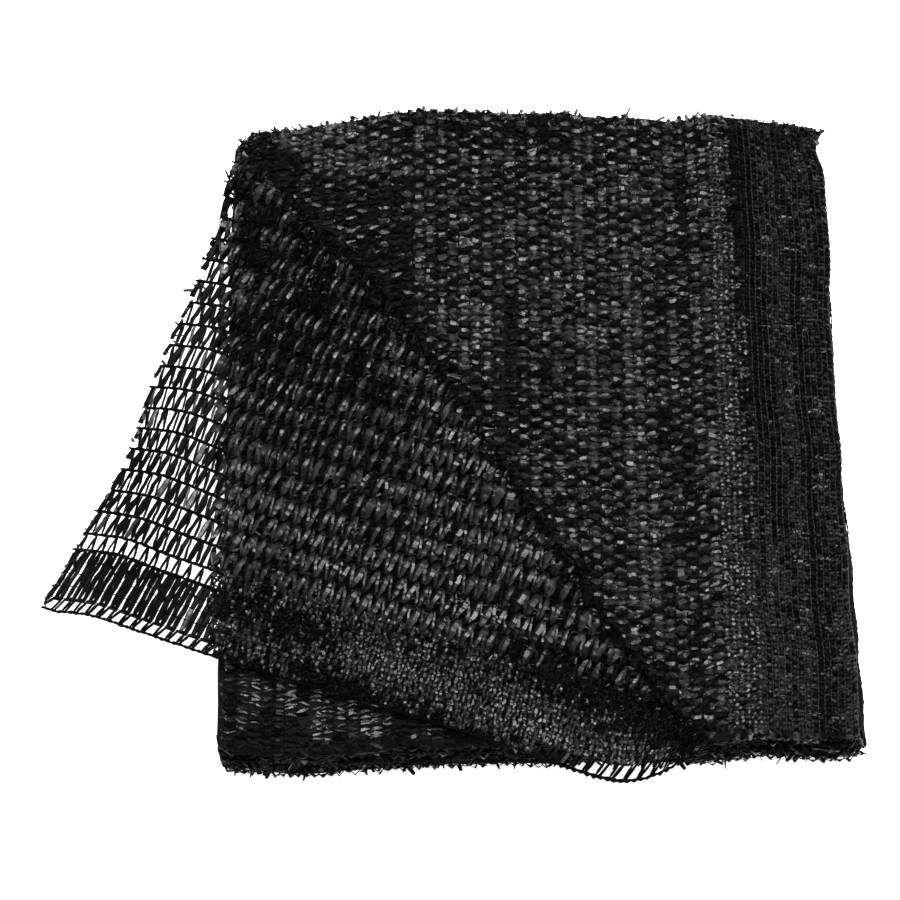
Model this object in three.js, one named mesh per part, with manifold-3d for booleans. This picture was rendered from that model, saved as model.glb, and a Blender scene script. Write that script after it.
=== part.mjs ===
// A folded piece of knitted shade cloth, as one closed solid.
// The strip lies in a back-and-forth stack, and its top ply is turned back over the stack at a slanting
// crease, so that its free corner hangs past the stack's left side and rests on the ground.
//
// Units are millimetres. +X runs across the cloth's width, +Y runs back along its length, and +Z is up.
// The origin is the middle of the stack's flat underside.
import * as THREE from "three";
import { mergeVertices } from "three/addons/utils/BufferGeometryUtils.js";
import Module from "manifold-3d";

// ---------------------------------------------------------------- driving dimensions
const LAYER_THICKNESS = 2.7; // one layer of the stack: four plies of net, pressed together
const LAYER_GAP = 0.8;
const LAYER_PITCH = LAYER_THICKNESS + LAYER_GAP;
const FOLD_RADIUS = LAYER_PITCH / 2; // of the middle of the cloth where it turns from layer to layer

const PLY_THICKNESS = 1.2; // the single ply that is turned back
const PLY_GAP = 0.8; // between the stack and that ply
const TURN_RADIUS = 1.6; // of the ply's middle at the crease
const PLY_BITE = 0.8; // how far the ply's closed edges run down into the layer that they belong to
const CLOSING_WIDTH = 1.6; // of the strip that runs down there

const STACK_LEFT = -123; // the side with the lengthwise fold
const STACK_RIGHT = 122; // the side with the selvedges
const EDGE_CLEARANCE = 2; // the turned ply is still level this far outside the stack

// Which way each layer is out of line: how far its front fold, its back fold and its right edge stand
// proud of the stack's plan, from the bottom layer to the top one.
const LAYERS = [
  { front: 2.5, back: -6, right: 4.5 },
  { front: 3.0, back: -4, right: 3.0 },
  { front: 2.0, back: -5, right: 5.0 },
  { front: 2.5, back: -2, right: 2.5 },
  { front: 0.5, back: -3, right: 3.5 },
  { front: 1.0, back: 0, right: 1.5 },
  { front: 0.0, back: -1, right: 2.0 },
  { front: 0.0, back: 0, right: 0.0 },
];

// The stack's plan and loft, a row for each section from left to right: where the section is, how far
// its back and front folds reach, and its height as a share of the full one.
const SECTIONS = [
  { x: STACK_LEFT, back: 117, front: 122, loft: 0.93 },
  { x: -118, back: 124, front: 126, loft: 0.98 },
  { x: -104, back: 129, front: 128, loft: 1.0 },
  { x: -72, back: 133, front: 129, loft: 1.01 },
  { x: -42, back: 139, front: 128, loft: 0.99 },
  { x: -8, back: 138, front: 127, loft: 1.0 },
  { x: 26, back: 136, front: 128, loft: 1.01 },
  { x: 58, back: 133, front: 127, loft: 0.99 },
  { x: 88, back: 135, front: 126, loft: 1.0 },
  { x: 108, back: 133, front: 127, loft: 0.98 },
  { x: 118, back: 129, front: 126, loft: 0.95 },
  { x: STACK_RIGHT, back: 125, front: 124, loft: 0.91 },
];

// The turned ply in plan. The crease runs from the back left to the front right. The cut end runs from
// the crease's top to the free corner, and the selvedge from that corner to the crease's foot.
const CREASE_TOP = [-113, 114];
const CREASE_FOOT = [67, -128];
const FREE_CORNER = [-195, -66];
const CREASE = [CREASE_TOP, [-90, 86], [-62, 57], [-13, -18], [44, -106], CREASE_FOOT];
const CUT_END = [CREASE_TOP, FREE_CORNER];
const SELVEDGE = [
  FREE_CORNER,
  [-174, -73],
  [-152, -83],
  [-123, -94],
  [-83, -106],
  [-33, -121],
  [6, -134],
  [38, -140],
  CREASE_FOOT,
];
// Where the lower part of that ply is closed into the stack: down its left side and along its front.
const CLOSED_INSET = 4; // from the stack's left side
const CLOSED_EDGE = [
  [STACK_LEFT + CLOSED_INSET, 108],
  [STACK_LEFT + CLOSED_INSET, -121],
  [67, -123],
];

const GROUND_RUN = 4; // how much of the free corner lies on the ground
const GROUND_CLEARANCE = 0.05; // below it, so that the flat base carries the stack
const FRONT_LINE = -126; // the ply droops outside this line too
const DROOP_FRONT = 0.05; // by this much for each square millimetre
const CREASE_HUMP = 1.4; // how high the cloth stands along the crease
const HUMP_RISE = 3; // how soon it has risen, from the crease outwards
const HUMP_FADE = 14; // and how soon it is level again

// ---------------------------------------------------------------- how finely the shapes are cut
const LAYER_STEPS = 4;
const FOLD_STEPS = 5;
const PLY_SECTIONS = { toCorner: 9, fromCorner: 14 };
const PLY_STEPS = { lower: 5, turn: 5, upper: 12 };
const FIRST_SECTION = 8; // of the turned ply, below the crease's top
const LAST_SECTION = 6; // and above its foot
const CURVE_STEPS = 60;
const MERGE_DISTANCE = 0.001;

const LAYER_COUNT = LAYERS.length;
const STACK_TOP = LAYER_COUNT * LAYER_PITCH - LAYER_GAP;

// ---------------------------------------------------------------- helpers
// A closed mesh from points and triangles.
function meshGeometry(points, triangles) {
  const geometry = new THREE.BufferGeometry();
  geometry.setAttribute("position", new THREE.Float32BufferAttribute(points.flat(), 3));
  geometry.setIndex(triangles.flat());
  return geometry;
}

// Triangles between two neighbouring rows of a grid whose rows hold `count` points.
function bandTriangles(firstA, firstB, count, closed) {
  const triangles = [];
  const steps = closed ? count : count - 1;
  for (let i = 0; i < steps; i++) {
    const next = (i + 1) % count;
    triangles.push([firstA + i, firstB + i, firstB + next], [firstA + i, firstB + next, firstA + next]);
  }
  return triangles;
}

// ---------------------------------------------------------------- the stack
// The middle line of the folded strip at one section, from the loose end at the bottom to the cut end on
// top. Even folds are at the front and odd ones at the back. `layer` says how far up the stack a point is.
function stripLine(section) {
  const outer = FOLD_RADIUS + LAYER_THICKNESS / 2;
  const frontOf = (k) => -(section.front + LAYERS[k].front) + outer;
  const backOf = (k) => section.back + LAYERS[k].back - outer;
  const line = [];
  for (let k = 0; k < LAYER_COUNT; k++) {
    const z = LAYER_THICKNESS / 2 + k * LAYER_PITCH;
    const runsForward = k % 2 === 0;
    const start = runsForward ? backOf(Math.max(k - 1, 0)) : frontOf(k - 1);
    const end = runsForward ? frontOf(k) : backOf(k);
    for (let i = 0; i <= LAYER_STEPS; i++) {
      const y = THREE.MathUtils.lerp(start, end, i / LAYER_STEPS);
      line.push({ y, z, ny: 0, nz: runsForward ? -1 : 1, layer: k });
    }
    if (k === LAYER_COUNT - 1) break;
    const side = runsForward ? -1 : 1;
    for (let i = 1; i < FOLD_STEPS; i++) {
      const angle = -Math.PI / 2 + (Math.PI * i) / FOLD_STEPS;
      const ny = side * Math.cos(angle);
      const nz = Math.sin(angle);
      const outward = runsForward ? 1 : -1;
      line.push({
        y: end + FOLD_RADIUS * ny,
        z: z + FOLD_RADIUS + FOLD_RADIUS * nz,
        ny: outward * ny,
        nz: outward * nz,
        layer: k + i / FOLD_STEPS,
      });
    }
  }
  return line;
}

// The closed outline of the strip at one section: out along one face and back along the other.
function stripOutline(section) {
  const line = stripLine(section);
  const offset = (p, side) => {
    const half = (side * LAYER_THICKNESS) / 2;
    const z = p.z + half * p.nz;
    const y = p.y + half * p.ny;
    const proud = THREE.MathUtils.lerp(
      LAYERS[Math.floor(p.layer)].right,
      LAYERS[Math.min(Math.floor(p.layer) + 1, LAYER_COUNT - 1)].right,
      p.layer % 1,
    );
    const towardsRight = THREE.MathUtils.smoothstep(section.x, 0, STACK_RIGHT);
    const towardsFront = THREE.MathUtils.lerp(0.6, 0.2, y / section.back);
    return [section.x + proud * towardsRight * towardsFront, y, z * section.loft];
  };
  return [...line.map((p) => offset(p, 1)), ...line.map((p) => offset(p, -1)).reverse()];
}

function stackGeometry() {
  const outlines = SECTIONS.map(stripOutline);
  const count = outlines[0].length;
  const points = outlines.flat();
  const triangles = [];
  for (let s = 0; s + 1 < outlines.length; s++) {
    triangles.push(...bandTriangles(s * count, (s + 1) * count, count, true));
  }
  const capOf = (s) => {
    const contour = outlines[s].map(([, y, z]) => new THREE.Vector2(y, z));
    return THREE.ShapeUtils.triangulateShape(contour, []).map((t) => t.map((i) => i + s * count));
  };
  triangles.push(...capOf(0).map(([a, b, c]) => [a, c, b]), ...capOf(outlines.length - 1));
  return meshGeometry(points, triangles);
}

// ---------------------------------------------------------------- the turned ply
// The ply is cut into upright sections square to the crease. `along` counts down the crease and `out`
// counts away from it, down and to the left.
const ALONG = new THREE.Vector2(...CREASE_FOOT).sub(new THREE.Vector2(...CREASE_TOP)).normalize();
const OUT = new THREE.Vector2(ALONG.y, -ALONG.x);

// A smooth curve through plan points as a table of along and out.
function planCurve(points, smooth) {
  const vectors = points.map((p) => new THREE.Vector2(...p));
  const sampled = smooth ? new THREE.SplineCurve(vectors).getPoints(CURVE_STEPS) : vectors;
  return sampled.map((p) => ({ along: p.dot(ALONG), out: p.dot(OUT) }));
}

// How far out a curve lies at one place along the crease.
function outAt(curve, along) {
  const next = Math.max(1, curve.findIndex((p) => p.along >= along));
  const a = curve[next - 1];
  const b = curve[next];
  return THREE.MathUtils.mapLinear(along, a.along, b.along, a.out, b.out);
}

const stackTopAt = (x) => {
  const after = SECTIONS.findIndex((s) => s.x >= x);
  if (after <= 0) return STACK_TOP * SECTIONS[0].loft;
  const a = SECTIONS[after - 1];
  const b = SECTIONS[after];
  return STACK_TOP * THREE.MathUtils.mapLinear(x, a.x, b.x, a.loft, b.loft);
};

function turnedPlyGeometry() {
  const crease = planCurve(CREASE, true);
  const cutEnd = planCurve(CUT_END, false);
  const selvedge = planCurve(SELVEDGE, true);
  const closedEdge = planCurve(CLOSED_EDGE, false);
  const cornerAlong = selvedge[0].along;
  const firstAlong = crease[0].along + FIRST_SECTION;
  const lastAlong = crease[crease.length - 1].along - LAST_SECTION;

  const stations = [];
  for (let i = 0; i < PLY_SECTIONS.toCorner; i++) {
    stations.push(THREE.MathUtils.lerp(firstAlong, cornerAlong, i / PLY_SECTIONS.toCorner));
  }
  for (let i = 0; i <= PLY_SECTIONS.fromCorner; i++) {
    stations.push(THREE.MathUtils.lerp(cornerAlong, lastAlong, i / PLY_SECTIONS.fromCorner));
  }

  const plan = (along, out) => [ALONG.x * along + OUT.x * out, ALONG.y * along + OUT.y * out];
  const level = STACK_TOP + PLY_GAP + PLY_THICKNESS / 2;
  const upperLevel = level + 2 * TURN_RADIUS;
  const ground = GROUND_CLEARANCE + PLY_THICKNESS / 2;
  const levelEnd = STACK_LEFT - EDGE_CLEARANCE;
  const overhang = levelEnd - FREE_CORNER[0] - GROUND_RUN;
  const droopLeft = (upperLevel - ground) / overhang ** 2;

  // The middle of the ply below the crease.
  const lowerHeight = (x) => stackTopAt(x) + level - STACK_TOP;
  // The middle of the ply above the crease: level on the stack, drooping outside it.
  const upperHeight = (x, y, fromCrease) => {
    const left = Math.max(0, levelEnd - x);
    const front = Math.max(0, FRONT_LINE - EDGE_CLEARANCE - y);
    const risen = 1 - Math.exp(-fromCrease / HUMP_RISE);
    const hump = CREASE_HUMP * risen * Math.exp(-fromCrease / HUMP_FADE);
    return Math.max(ground, upperLevel + hump - droopLeft * left ** 2 - DROOP_FRONT * front ** 2);
  };

  const rows = stations.map((along) => {
    const creaseOut = outAt(crease, along);
    const lowerEnd = outAt(closedEdge, along);
    const upperEnd = outAt(along < cornerAlong ? cutEnd : selvedge, along);
    const [closedX, closedY] = plan(along, lowerEnd);
    const row = [[closedX, closedY, lowerHeight(closedX) - PLY_GAP - PLY_THICKNESS - PLY_BITE]];
    for (let i = 0; i <= PLY_STEPS.lower; i++) {
      const out = THREE.MathUtils.lerp(lowerEnd - CLOSING_WIDTH, creaseOut, i / PLY_STEPS.lower);
      const [x, y] = plan(along, out);
      row.push([x, y, lowerHeight(x)]);
    }
    const [, , turnBase] = row[row.length - 1];
    for (let i = 1; i < PLY_STEPS.turn; i++) {
      const angle = (Math.PI * i) / PLY_STEPS.turn;
      const [x, y] = plan(along, creaseOut - TURN_RADIUS * Math.sin(angle));
      row.push([x, y, turnBase + TURN_RADIUS * (1 - Math.cos(angle))]);
    }
    for (let i = 0; i <= PLY_STEPS.upper; i++) {
      const out = THREE.MathUtils.lerp(creaseOut, upperEnd, i / PLY_STEPS.upper);
      const [x, y] = plan(along, out);
      const onStack = stackTopAt(x) - STACK_TOP;
      row.push([x, y, upperHeight(x, y, out - creaseOut) + (x > STACK_LEFT ? onStack : 0)]);
    }
    return row;
  });
  return sheetGeometry(rows, PLY_THICKNESS);
}

// A closed sheet of even thickness about a grid of points.
function sheetGeometry(rows, thickness) {
  const at = (r, c) => new THREE.Vector3(...rows[r][c]);
  const lastRow = rows.length - 1;
  const count = rows[0].length;
  const skins = [1, -1].map((side) =>
    rows.map((row, r) =>
      row.map((point, c) => {
        const down = at(Math.min(r + 1, lastRow), c).sub(at(Math.max(r - 1, 0), c));
        const across = at(r, Math.min(c + 1, count - 1)).sub(at(r, Math.max(c - 1, 0)));
        const normal = down.cross(across).normalize();
        return new THREE.Vector3(...point).addScaledVector(normal, (side * thickness) / 2).toArray();
      }),
    ),
  );
  const points = skins.flat(2);
  const skinSize = rows.length * count;
  const triangles = [];
  for (let r = 0; r < lastRow; r++) {
    triangles.push(...bandTriangles(r * count, (r + 1) * count, count, false));
    triangles.push(...bandTriangles(skinSize + (r + 1) * count, skinSize + r * count, count, false));
  }
  const rim = [
    ...Array.from({ length: count - 1 }, (_, c) => c),
    ...Array.from({ length: lastRow }, (_, r) => r * count + count - 1),
    ...Array.from({ length: count - 1 }, (_, c) => lastRow * count + count - 1 - c),
    ...Array.from({ length: lastRow }, (_, r) => (lastRow - r) * count),
  ];
  rim.forEach((a, i) => {
    const b = rim[(i + 1) % rim.length];
    triangles.push([a, b, skinSize + b], [a, skinSize + b, skinSize + a]);
  });
  return meshGeometry(points, triangles);
}

// ---------------------------------------------------------------- joining
const wasm = await Module();
wasm.setup();

function solidOf(geometry) {
  const merged = mergeVertices(geometry, MERGE_DISTANCE);
  return new wasm.Manifold(
    new wasm.Mesh({
      numProp: 3,
      vertProperties: merged.attributes.position.array,
      triVerts: new Uint32Array(merged.index.array),
    }),
  );
}

function geometryOf(solid) {
  const { vertProperties, triVerts } = solid.getMesh();
  const geometry = new THREE.BufferGeometry();
  geometry.setAttribute("position", new THREE.BufferAttribute(vertProperties, 3));
  geometry.setIndex(new THREE.BufferAttribute(triVerts, 1));
  geometry.computeVertexNormals();
  return geometry;
}

// ---------------------------------------------------------------- the object
const knittedNet = new THREE.MeshStandardMaterial({ color: 0x1b1c1e, roughness: 0.45, metalness: 0 });

const shadeCloth = new THREE.Mesh(
  geometryOf(solidOf(stackGeometry()).add(solidOf(turnedPlyGeometry()))),
  knittedNet,
);
shadeCloth.name = "shade_cloth";

const object = new THREE.Group();
object.add(shadeCloth);

export default object;
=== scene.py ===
# %% [markdown]
# # A folded piece of knitted shade cloth
#
# Shade cloth is a net that a warp knitting machine makes from black plastic. Thin chains of stitches run
# along the cloth, and flat crumpled tapes run in zigzags from each chain to the next one. This piece is
# a long strip. It was folded over twice across its width, so that it lies in four plies, and then it was
# folded back and forth into a stack. One corner of the top ply is turned back over the stack.
#
# This lesson builds it in the order in which it came about: the folds first, then the net that is
# knitted flat and laid on those folds, then the loose ends, the plastic, and the studio.

import math
from types import SimpleNamespace

import bpy
import numpy as np
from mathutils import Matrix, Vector


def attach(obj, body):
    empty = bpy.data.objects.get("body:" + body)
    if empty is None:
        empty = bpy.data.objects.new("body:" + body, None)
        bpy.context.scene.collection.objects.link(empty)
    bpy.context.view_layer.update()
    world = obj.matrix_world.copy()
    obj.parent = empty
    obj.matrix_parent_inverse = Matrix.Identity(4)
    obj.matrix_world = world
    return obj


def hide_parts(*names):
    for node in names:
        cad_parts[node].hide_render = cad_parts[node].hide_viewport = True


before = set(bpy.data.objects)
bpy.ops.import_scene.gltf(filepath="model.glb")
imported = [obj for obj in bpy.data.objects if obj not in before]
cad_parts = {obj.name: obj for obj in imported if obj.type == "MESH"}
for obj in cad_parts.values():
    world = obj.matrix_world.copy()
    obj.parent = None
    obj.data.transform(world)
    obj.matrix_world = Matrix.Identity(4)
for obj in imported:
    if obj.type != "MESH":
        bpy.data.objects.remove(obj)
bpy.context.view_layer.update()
scene = bpy.context.scene

# %% [markdown]
# ## The camera
#
# The cloth is looked at from above and a little from the front, so that the front folds show as a narrow
# strip below the top face. A long lens keeps the stack's sides nearly parallel.

# %% The camera
LOOK_AT = Vector((-0.033, 0.0005, 0.0))
CAMERA_TILT = math.radians(18)  # away from straight down
CAMERA_DISTANCE = 0.985

camera_data = bpy.data.cameras.new("camera")
camera_data.sensor_width = 36
camera_data.lens = 96
camera_data.clip_start = 0.01
camera = bpy.data.objects.new("camera", camera_data)
camera.rotation_euler = (CAMERA_TILT, 0, 0)
camera.location = LOOK_AT + CAMERA_DISTANCE * Vector((0, -math.sin(CAMERA_TILT), math.cos(CAMERA_TILT)))
scene.collection.objects.link(camera)
scene.camera = camera
print("Camera at", [round(c, 3) for c in camera.location])

# %% [markdown]
# ## The folds
#
# A folded cloth can be made by a cloth simulation, but a stack of 32 plies a fraction of a millimetre
# apart is hard to settle. The folds follow a plain rule instead: a point of the flat cloth is known by
# how far it is across the strip and how far along it, and one function says where that point lies in the
# stack. Everything in this lesson is laid on the cloth with that function.
#
# Sizes are in millimetres here, as a maker would note them, and become metres when a mesh is made.

# %% How the stack is folded
MM = 0.001
STACK_LEFT, STACK_RIGHT = -123.0, 122.0
LAYER_THICKNESS, LAYER_PITCH = 2.7, 3.5
FOLD_RADIUS = LAYER_PITCH / 2
FOLD_REACH = FOLD_RADIUS + LAYER_THICKNESS / 2
RUN = 258.0  # the length of one layer, along the cloth
TURN = math.pi * FOLD_RADIUS  # and of the fold after it

# How far each layer's front fold, back fold and right edge stand out, from the bottom layer to the top.
LAYERS = np.array([
    (2.5, -6, 4.5), (3.0, -4, 3.0), (2.0, -5, 5.0), (2.5, -2, 2.5),
    (0.5, -3, 3.5), (1.0, 0, 1.5), (0.0, -1, 2.0), (0.0, 0, 0.0),
])
LAYER_COUNT = len(LAYERS)
TOP = LAYER_COUNT - 1
STACK_TOP = LAYER_COUNT * LAYER_PITCH - (LAYER_PITCH - LAYER_THICKNESS)

# The plan: for places from left to right, the reach of the back and front folds, and the loft.
PLAN = np.array([
    (-123, 118, 128, 0.93), (-118, 125, 131, 0.98), (-104, 128, 132, 1.0), (-84, 131.5, 131, 1.0),
    (-58, 137, 129, 1.01), (-42, 140, 129, 0.99), (-8, 139.5, 127, 1.0), (26, 136.5, 127, 1.01),
    (58, 136, 127.5, 0.99), (72, 137, 125, 1.0), (88, 135, 124.5, 1.0), (108, 131.5, 126, 0.98),
    (118, 131, 126, 0.95), (122, 130, 124, 0.91),
])


def smooth(value, low, high):
    """0 below low, 1 above high, and an even S between them."""
    t = np.clip((value - low) / (high - low), 0, 1)
    return t * t * (3 - 2 * t)


def plan_at(x, column):
    """One of the plan's columns at x: 1 back fold, 2 front fold, 3 loft."""
    return np.interp(x, PLAN[:, 0], PLAN[:, column])


# %% [markdown]
# The top face isn't flat. Soft troughs and ridges run over it, given one by one: each one is a line with a
# width and a height, and the face rises or sinks by that height along the line.

# %% Troughs and ridges
# (from x, y), (to x, y), half width, height; negative heights are troughs.
CREASES = [
    ((-100, 112), (-62, 66), 12, -1.3),
    ((-62, 66), (-44, 40), 9, -0.9),
    ((-12, 56), (-12, -6), 4.5, -1.1),
    ((-3, 60), (-4, 0), 6, 0.7),
    ((-84, 122), (-36, 104), 9, 0.9),
    ((20, 100), (26, -110), 9, 0.5),
    ((52, 126), (48, -40), 6, -0.6),
    ((82, 128), (84, -118), 4, -0.9),
    ((92, 128), (92, -110), 4, 0.5),
    ((100, 124), (100, -116), 2.5, -0.7),
    ((60, -60), (78, -112), 8, 0.6),
    ((-118, -92), (-100, -118), 6, -0.7),
    ((-88, -112), (-84, -124), 4, -1.2),
    ((-70, -108), (-60, -122), 5, 0.8),
    ((-40, -118), (-36, -126), 5, -0.8),
]


def beside(x, y, start, end):
    """How far plan points are from a straight line between two points."""
    (x0, y0), (x1, y1) = start, end
    run, rise = x1 - x0, y1 - y0
    t = np.clip(((x - x0) * run + (y - y0) * rise) / (run**2 + rise**2), 0, 1)
    return np.hypot(x - x0 - t * run, y - y0 - t * rise)


def relief(x, y):
    """The height of the ripples, troughs and ridges at a plan point."""
    height = 0.35 * np.sin(x / 6.1 + 0.8 * np.sin(y / 55)) + 0.25 * np.sin(x / 2.9 + y / 70)
    height = height + 0.3 * np.sin(y / 21 + x / 37) - 1.6 * smooth(y, 116, 138)
    for start, end, width, rise in CREASES:
        height = height + rise * np.exp(-((beside(x, y, start, end) / width) ** 2))
    return height


# %% [markdown]
# The net isn't equally slack everywhere. Where it is drawn tight its tapes lie flat, lean one way and
# close up, so that they look dark; where it is slack they are full and catch the light. These places are
# listed too, as lines with a width and an amount, and a negative amount is slacker.
# The same amounts also paint shade: they set how many strokes get the darker dull film, so that the dark
# edges of the crease, the grooves and the dark patches are painted shade, and a negative amount paints less
# of it, so that more strokes shine.

# %% Where the net is drawn tight, and where shade is painted
TIGHT_AND_SHADED_ON_FACE = [
    ((-113, 134), (-99, 110), 4.5, 1.2), ((-98, 130), (-56, 118), 11, -0.6), ((-88, 94), (-62, 90), 17, 0.3),
    ((-84, 84), (-70, 56), 14, 0.3), ((-57, 130), (-50, 66), 12, 0.5), ((-9, 56), (-10, -6), 3, 1.3),
    ((62, 112), (64, -118), 3, 0.4), ((77, 138), (76, -60), 7, -0.3), ((76, -60), (84, -124), 11, -0.3),
    ((88, 134), (92, 20), 5.5, 1.1), ((92, 20), (97, -40), 4.5, 0.9), ((103, 134), (107, 40), 3.2, 0.7),
    ((108, 40), (112, -127), 3.2, 0.7), ((118, 120), (122, -60), 3.5, 0.6), ((-20, 40), (-30, 50), 9, -0.5),
    ((-46, 132), (-44, 60), 3, -0.5), ((20, 110), (22, 20), 4, -0.4), ((40, 110), (42, -60), 4, -0.4),
]
TIGHT_AND_SHADED_ON_CORNER = [
    ((-120, 132), (-114, 74), 9, 0.45), ((-108, 60), (-100, 30), 7, 0.25),
    ((-94, 84), (-84, 30), 16, 0.42), ((-88, 62), (-66, 40), 14, 0.25), ((-112, 36), (-80, 14), 13, 0.25),
    ((-126, -68), (-84, -86), 6, 0.5), ((-14, -86), (70, -134), 6.5, 1.0), ((-70, -92), (-20, -110), 5, -0.8),
    ((-24, -106), (10, -126), 7, -0.9), ((-90, -98), (-24, -132), 3.5, 0.8),
    ((-115, -36), (-30, -56), 14, -0.45), ((-40, -10), (0, -56), 12, -0.5), ((-36, 20), (-24, 0), 8, -0.5),
    ((-30, -26), (-20, -40), 6, 0.5), ((-80, -64), (0, -84), 9, -0.8),
]
TIGHT_AND_SHADED_UNDER_CORNER = [
    ((-123, -92), (0, -128), 20, 0.5), ((-112, -102), (-108, -112), 4, -1.5),
    ((-96, -106), (-94, -112), 4, -1.6), ((-84, -108), (-82, -126), 3, -1.6),
    ((-64, -116), (-61, -126), 3, -1.5), ((-74, -112), (-68, -120), 5, -0.8),
    ((-104, -118), (-98, -128), 6, 0.5), ((-50, -124), (-10, -128), 4, -0.6),
]


def tightness_and_shade(places, x, y):
    """How tight the net is drawn at plan points, and how much shade is painted there."""
    tight = np.zeros_like(x)
    for start, end, width, amount in places:
        tight = tight + amount * np.exp(-((beside(x, y, start, end) / width) ** 2))
    return tight


# %% [markdown]
# Across its width the strip was folded like a map: once in half, and then in half again with both
# knitted edges on top. So each layer has four plies, two folds at the left, one at the right, and two
# knitted edges at the right. `across` says where a point of the width lies: its x, and its depth, which
# is how far it is from the middle of the four plies.

# %% Across the cloth
PLY_PITCH = 0.66
OUTER, INNER = 1.5 * PLY_PITCH, 0.5 * PLY_PITCH
TOP_PLY_EDGE = 82.0  # the knitted edge of the top ply
LEFT_TURN = STACK_LEFT + OUTER + 0.3
RIGHT_TURN = STACK_RIGHT - INNER - 0.3

# A run goes from one x to another at one depth. A turn goes round a centre from one depth to another.
WIDTH_PATH = [
    ("run", TOP_PLY_EDGE, LEFT_TURN, OUTER),
    ("turn", LEFT_TURN, -1, OUTER, -OUTER),
    ("run", LEFT_TURN, RIGHT_TURN, -OUTER),
    ("turn", RIGHT_TURN, 1, -OUTER, -INNER),
    ("run", RIGHT_TURN, LEFT_TURN, -INNER),
    ("turn", LEFT_TURN, -1, -INNER, INNER),
    ("run", LEFT_TURN, STACK_RIGHT, INNER),
]


def path_length(piece):
    if piece[0] == "run":
        return abs(piece[2] - piece[1])
    return math.pi * abs(piece[4] - piece[3]) / 2


CLOTH_WIDTH = sum(path_length(piece) for piece in WIDTH_PATH)


def across(u):
    """x and depth of points that lie u across the cloth."""
    x, depth = np.zeros_like(u), np.zeros_like(u)
    start = 0.0
    for piece in WIDTH_PATH:
        length = path_length(piece)
        here = (u >= start - 1e-9) & (u <= start + length + 1e-9)
        t = (u[here] - start) / length
        if piece[0] == "run":
            x[here] = piece[1] + t * (piece[2] - piece[1])
            depth[here] = piece[3]
        else:
            _, centre, side, first, last = piece
            radius = abs(first - last) / 2
            x[here] = centre + side * radius * np.sin(math.pi * t)
            depth[here] = (first + last) / 2 + (first - last) / 2 * np.cos(math.pi * t)
        start += length
    return x, depth


# %% [markdown]
# Along its length the strip runs forwards and backwards, layer on layer. `place` gives the point in
# space for an x, a depth and a place along the cloth.

# %% Along the cloth, and into space
def front_turn(x, layer):
    return -(plan_at(x, 2) + LAYERS[layer, 0]) + FOLD_REACH


def back_turn(x, layer):
    return plan_at(x, 1) + LAYERS[layer, 1] - FOLD_REACH


def ripple(layer, along_edge):
    """The small waves of an edge, different in each layer."""
    return 0.7 * np.sin(along_edge / 15.3 + 2.1 * layer) + 0.4 * np.sin(along_edge / 6.7 + 1.3 * layer)


def shifted(x, y, height):
    """x moved by the unevenness of the stack's sides, at a height counted in layers."""
    low = np.floor(height).astype(int)
    high = np.minimum(low + 1, TOP)
    proud = LAYERS[low, 2] + (height - low) * (LAYERS[high, 2] - LAYERS[low, 2])
    moved = x + proud * smooth(x, 0, STACK_RIGHT) * np.maximum(0.1, 0.4 - 0.8 * y / plan_at(x, 1))
    moved = moved + ripple(height, y) * (smooth(x, 60, 118) - 0.6 * smooth(-x, 90, 121))

    # At the back right the top layer flares and draws in again, and the layers below it step back.
    on_top_layer, on_second = smooth(height, 6, 7), smooth(height, 5, 6)
    flare = 4.5 * np.exp(-(((y - 138) / 5) ** 2)) - 2.2 * np.exp(-(((y - 124) / 7) ** 2))
    step = 107 + 10 * on_second
    stepped = 4.5 * smooth(y, step, step + 2) + 1.2 * on_second * smooth(y, 105, 108)
    bulge = 2.0 * smooth(-y, 10, 60)
    return moved + smooth(x, 95, 122) * (on_top_layer * flare - (1 - on_top_layer) * stepped + bulge)


def place(x, depth, v):
    """Where the cloth lies, as an array of x, y and z in millimetres."""
    x, depth, v = np.broadcast_arrays(*(np.asarray(a, float) for a in (x, depth, v)))
    layer = np.clip(np.floor(v / (RUN + TURN)), 0, TOP).astype(int)
    t = (v - layer * (RUN + TURN)) / RUN
    forward = layer % 2 == 0
    front = front_turn(x, np.where(forward, layer, np.maximum(layer - 1, 0)))
    back = back_turn(x, np.where(forward, np.maximum(layer - 1, 0), layer))
    cut_end = FOLD_REACH + 2 + 3 * smooth(-x, 40, 100) + 1.5 * smooth(x, 60, 110)
    back = back + np.where(layer == TOP, cut_end, 0)
    start, end = np.where(forward, back, front), np.where(forward, front, back)

    turning = (t > 1) & (layer < TOP)
    angle = np.where(turning, math.pi * ((t - 1) * RUN / TURN - 0.5), 0)
    side = np.where(forward, -1, 1)
    y = np.where(turning, end + side * FOLD_RADIUS * np.cos(angle), start + t * (end - start))
    z = LAYER_THICKNESS / 2 + layer * LAYER_PITCH
    z = z + np.where(turning, FOLD_RADIUS * (1 + np.sin(angle)), 0)
    face = np.where(forward, -1, 1)
    y = y + np.where(turning, -side * face * np.cos(angle), 0) * depth
    z = z + np.where(turning, -face * np.sin(angle), face) * depth

    height = layer + np.where(turning, (t - 1) * RUN / TURN, 0)
    moved = shifted(x, y, height)
    y = y + ripple(height, 60 + 1.3 * x) * smooth(np.abs(y), 95, 124)
    share = np.clip(z / STACK_TOP, 0, 1)  # the relief fades towards the ground
    return np.stack([moved, y, z * plan_at(x, 3) + relief(x, y) * share**3], -1)


# %% [markdown]
# ## The turned corner
#
# The top ply's corner is turned back at a slanting crease. Over the stack it lies nearly level, and past
# the stack's left side it hangs down until its tip rests on the ground. Chains that ran to the back now
# run down to the right, because a fold mirrors what it turns.
#
# `corner` gives the place for a point of that ply, known by how far it is from the knitted edge and how
# far from the cut end.

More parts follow.
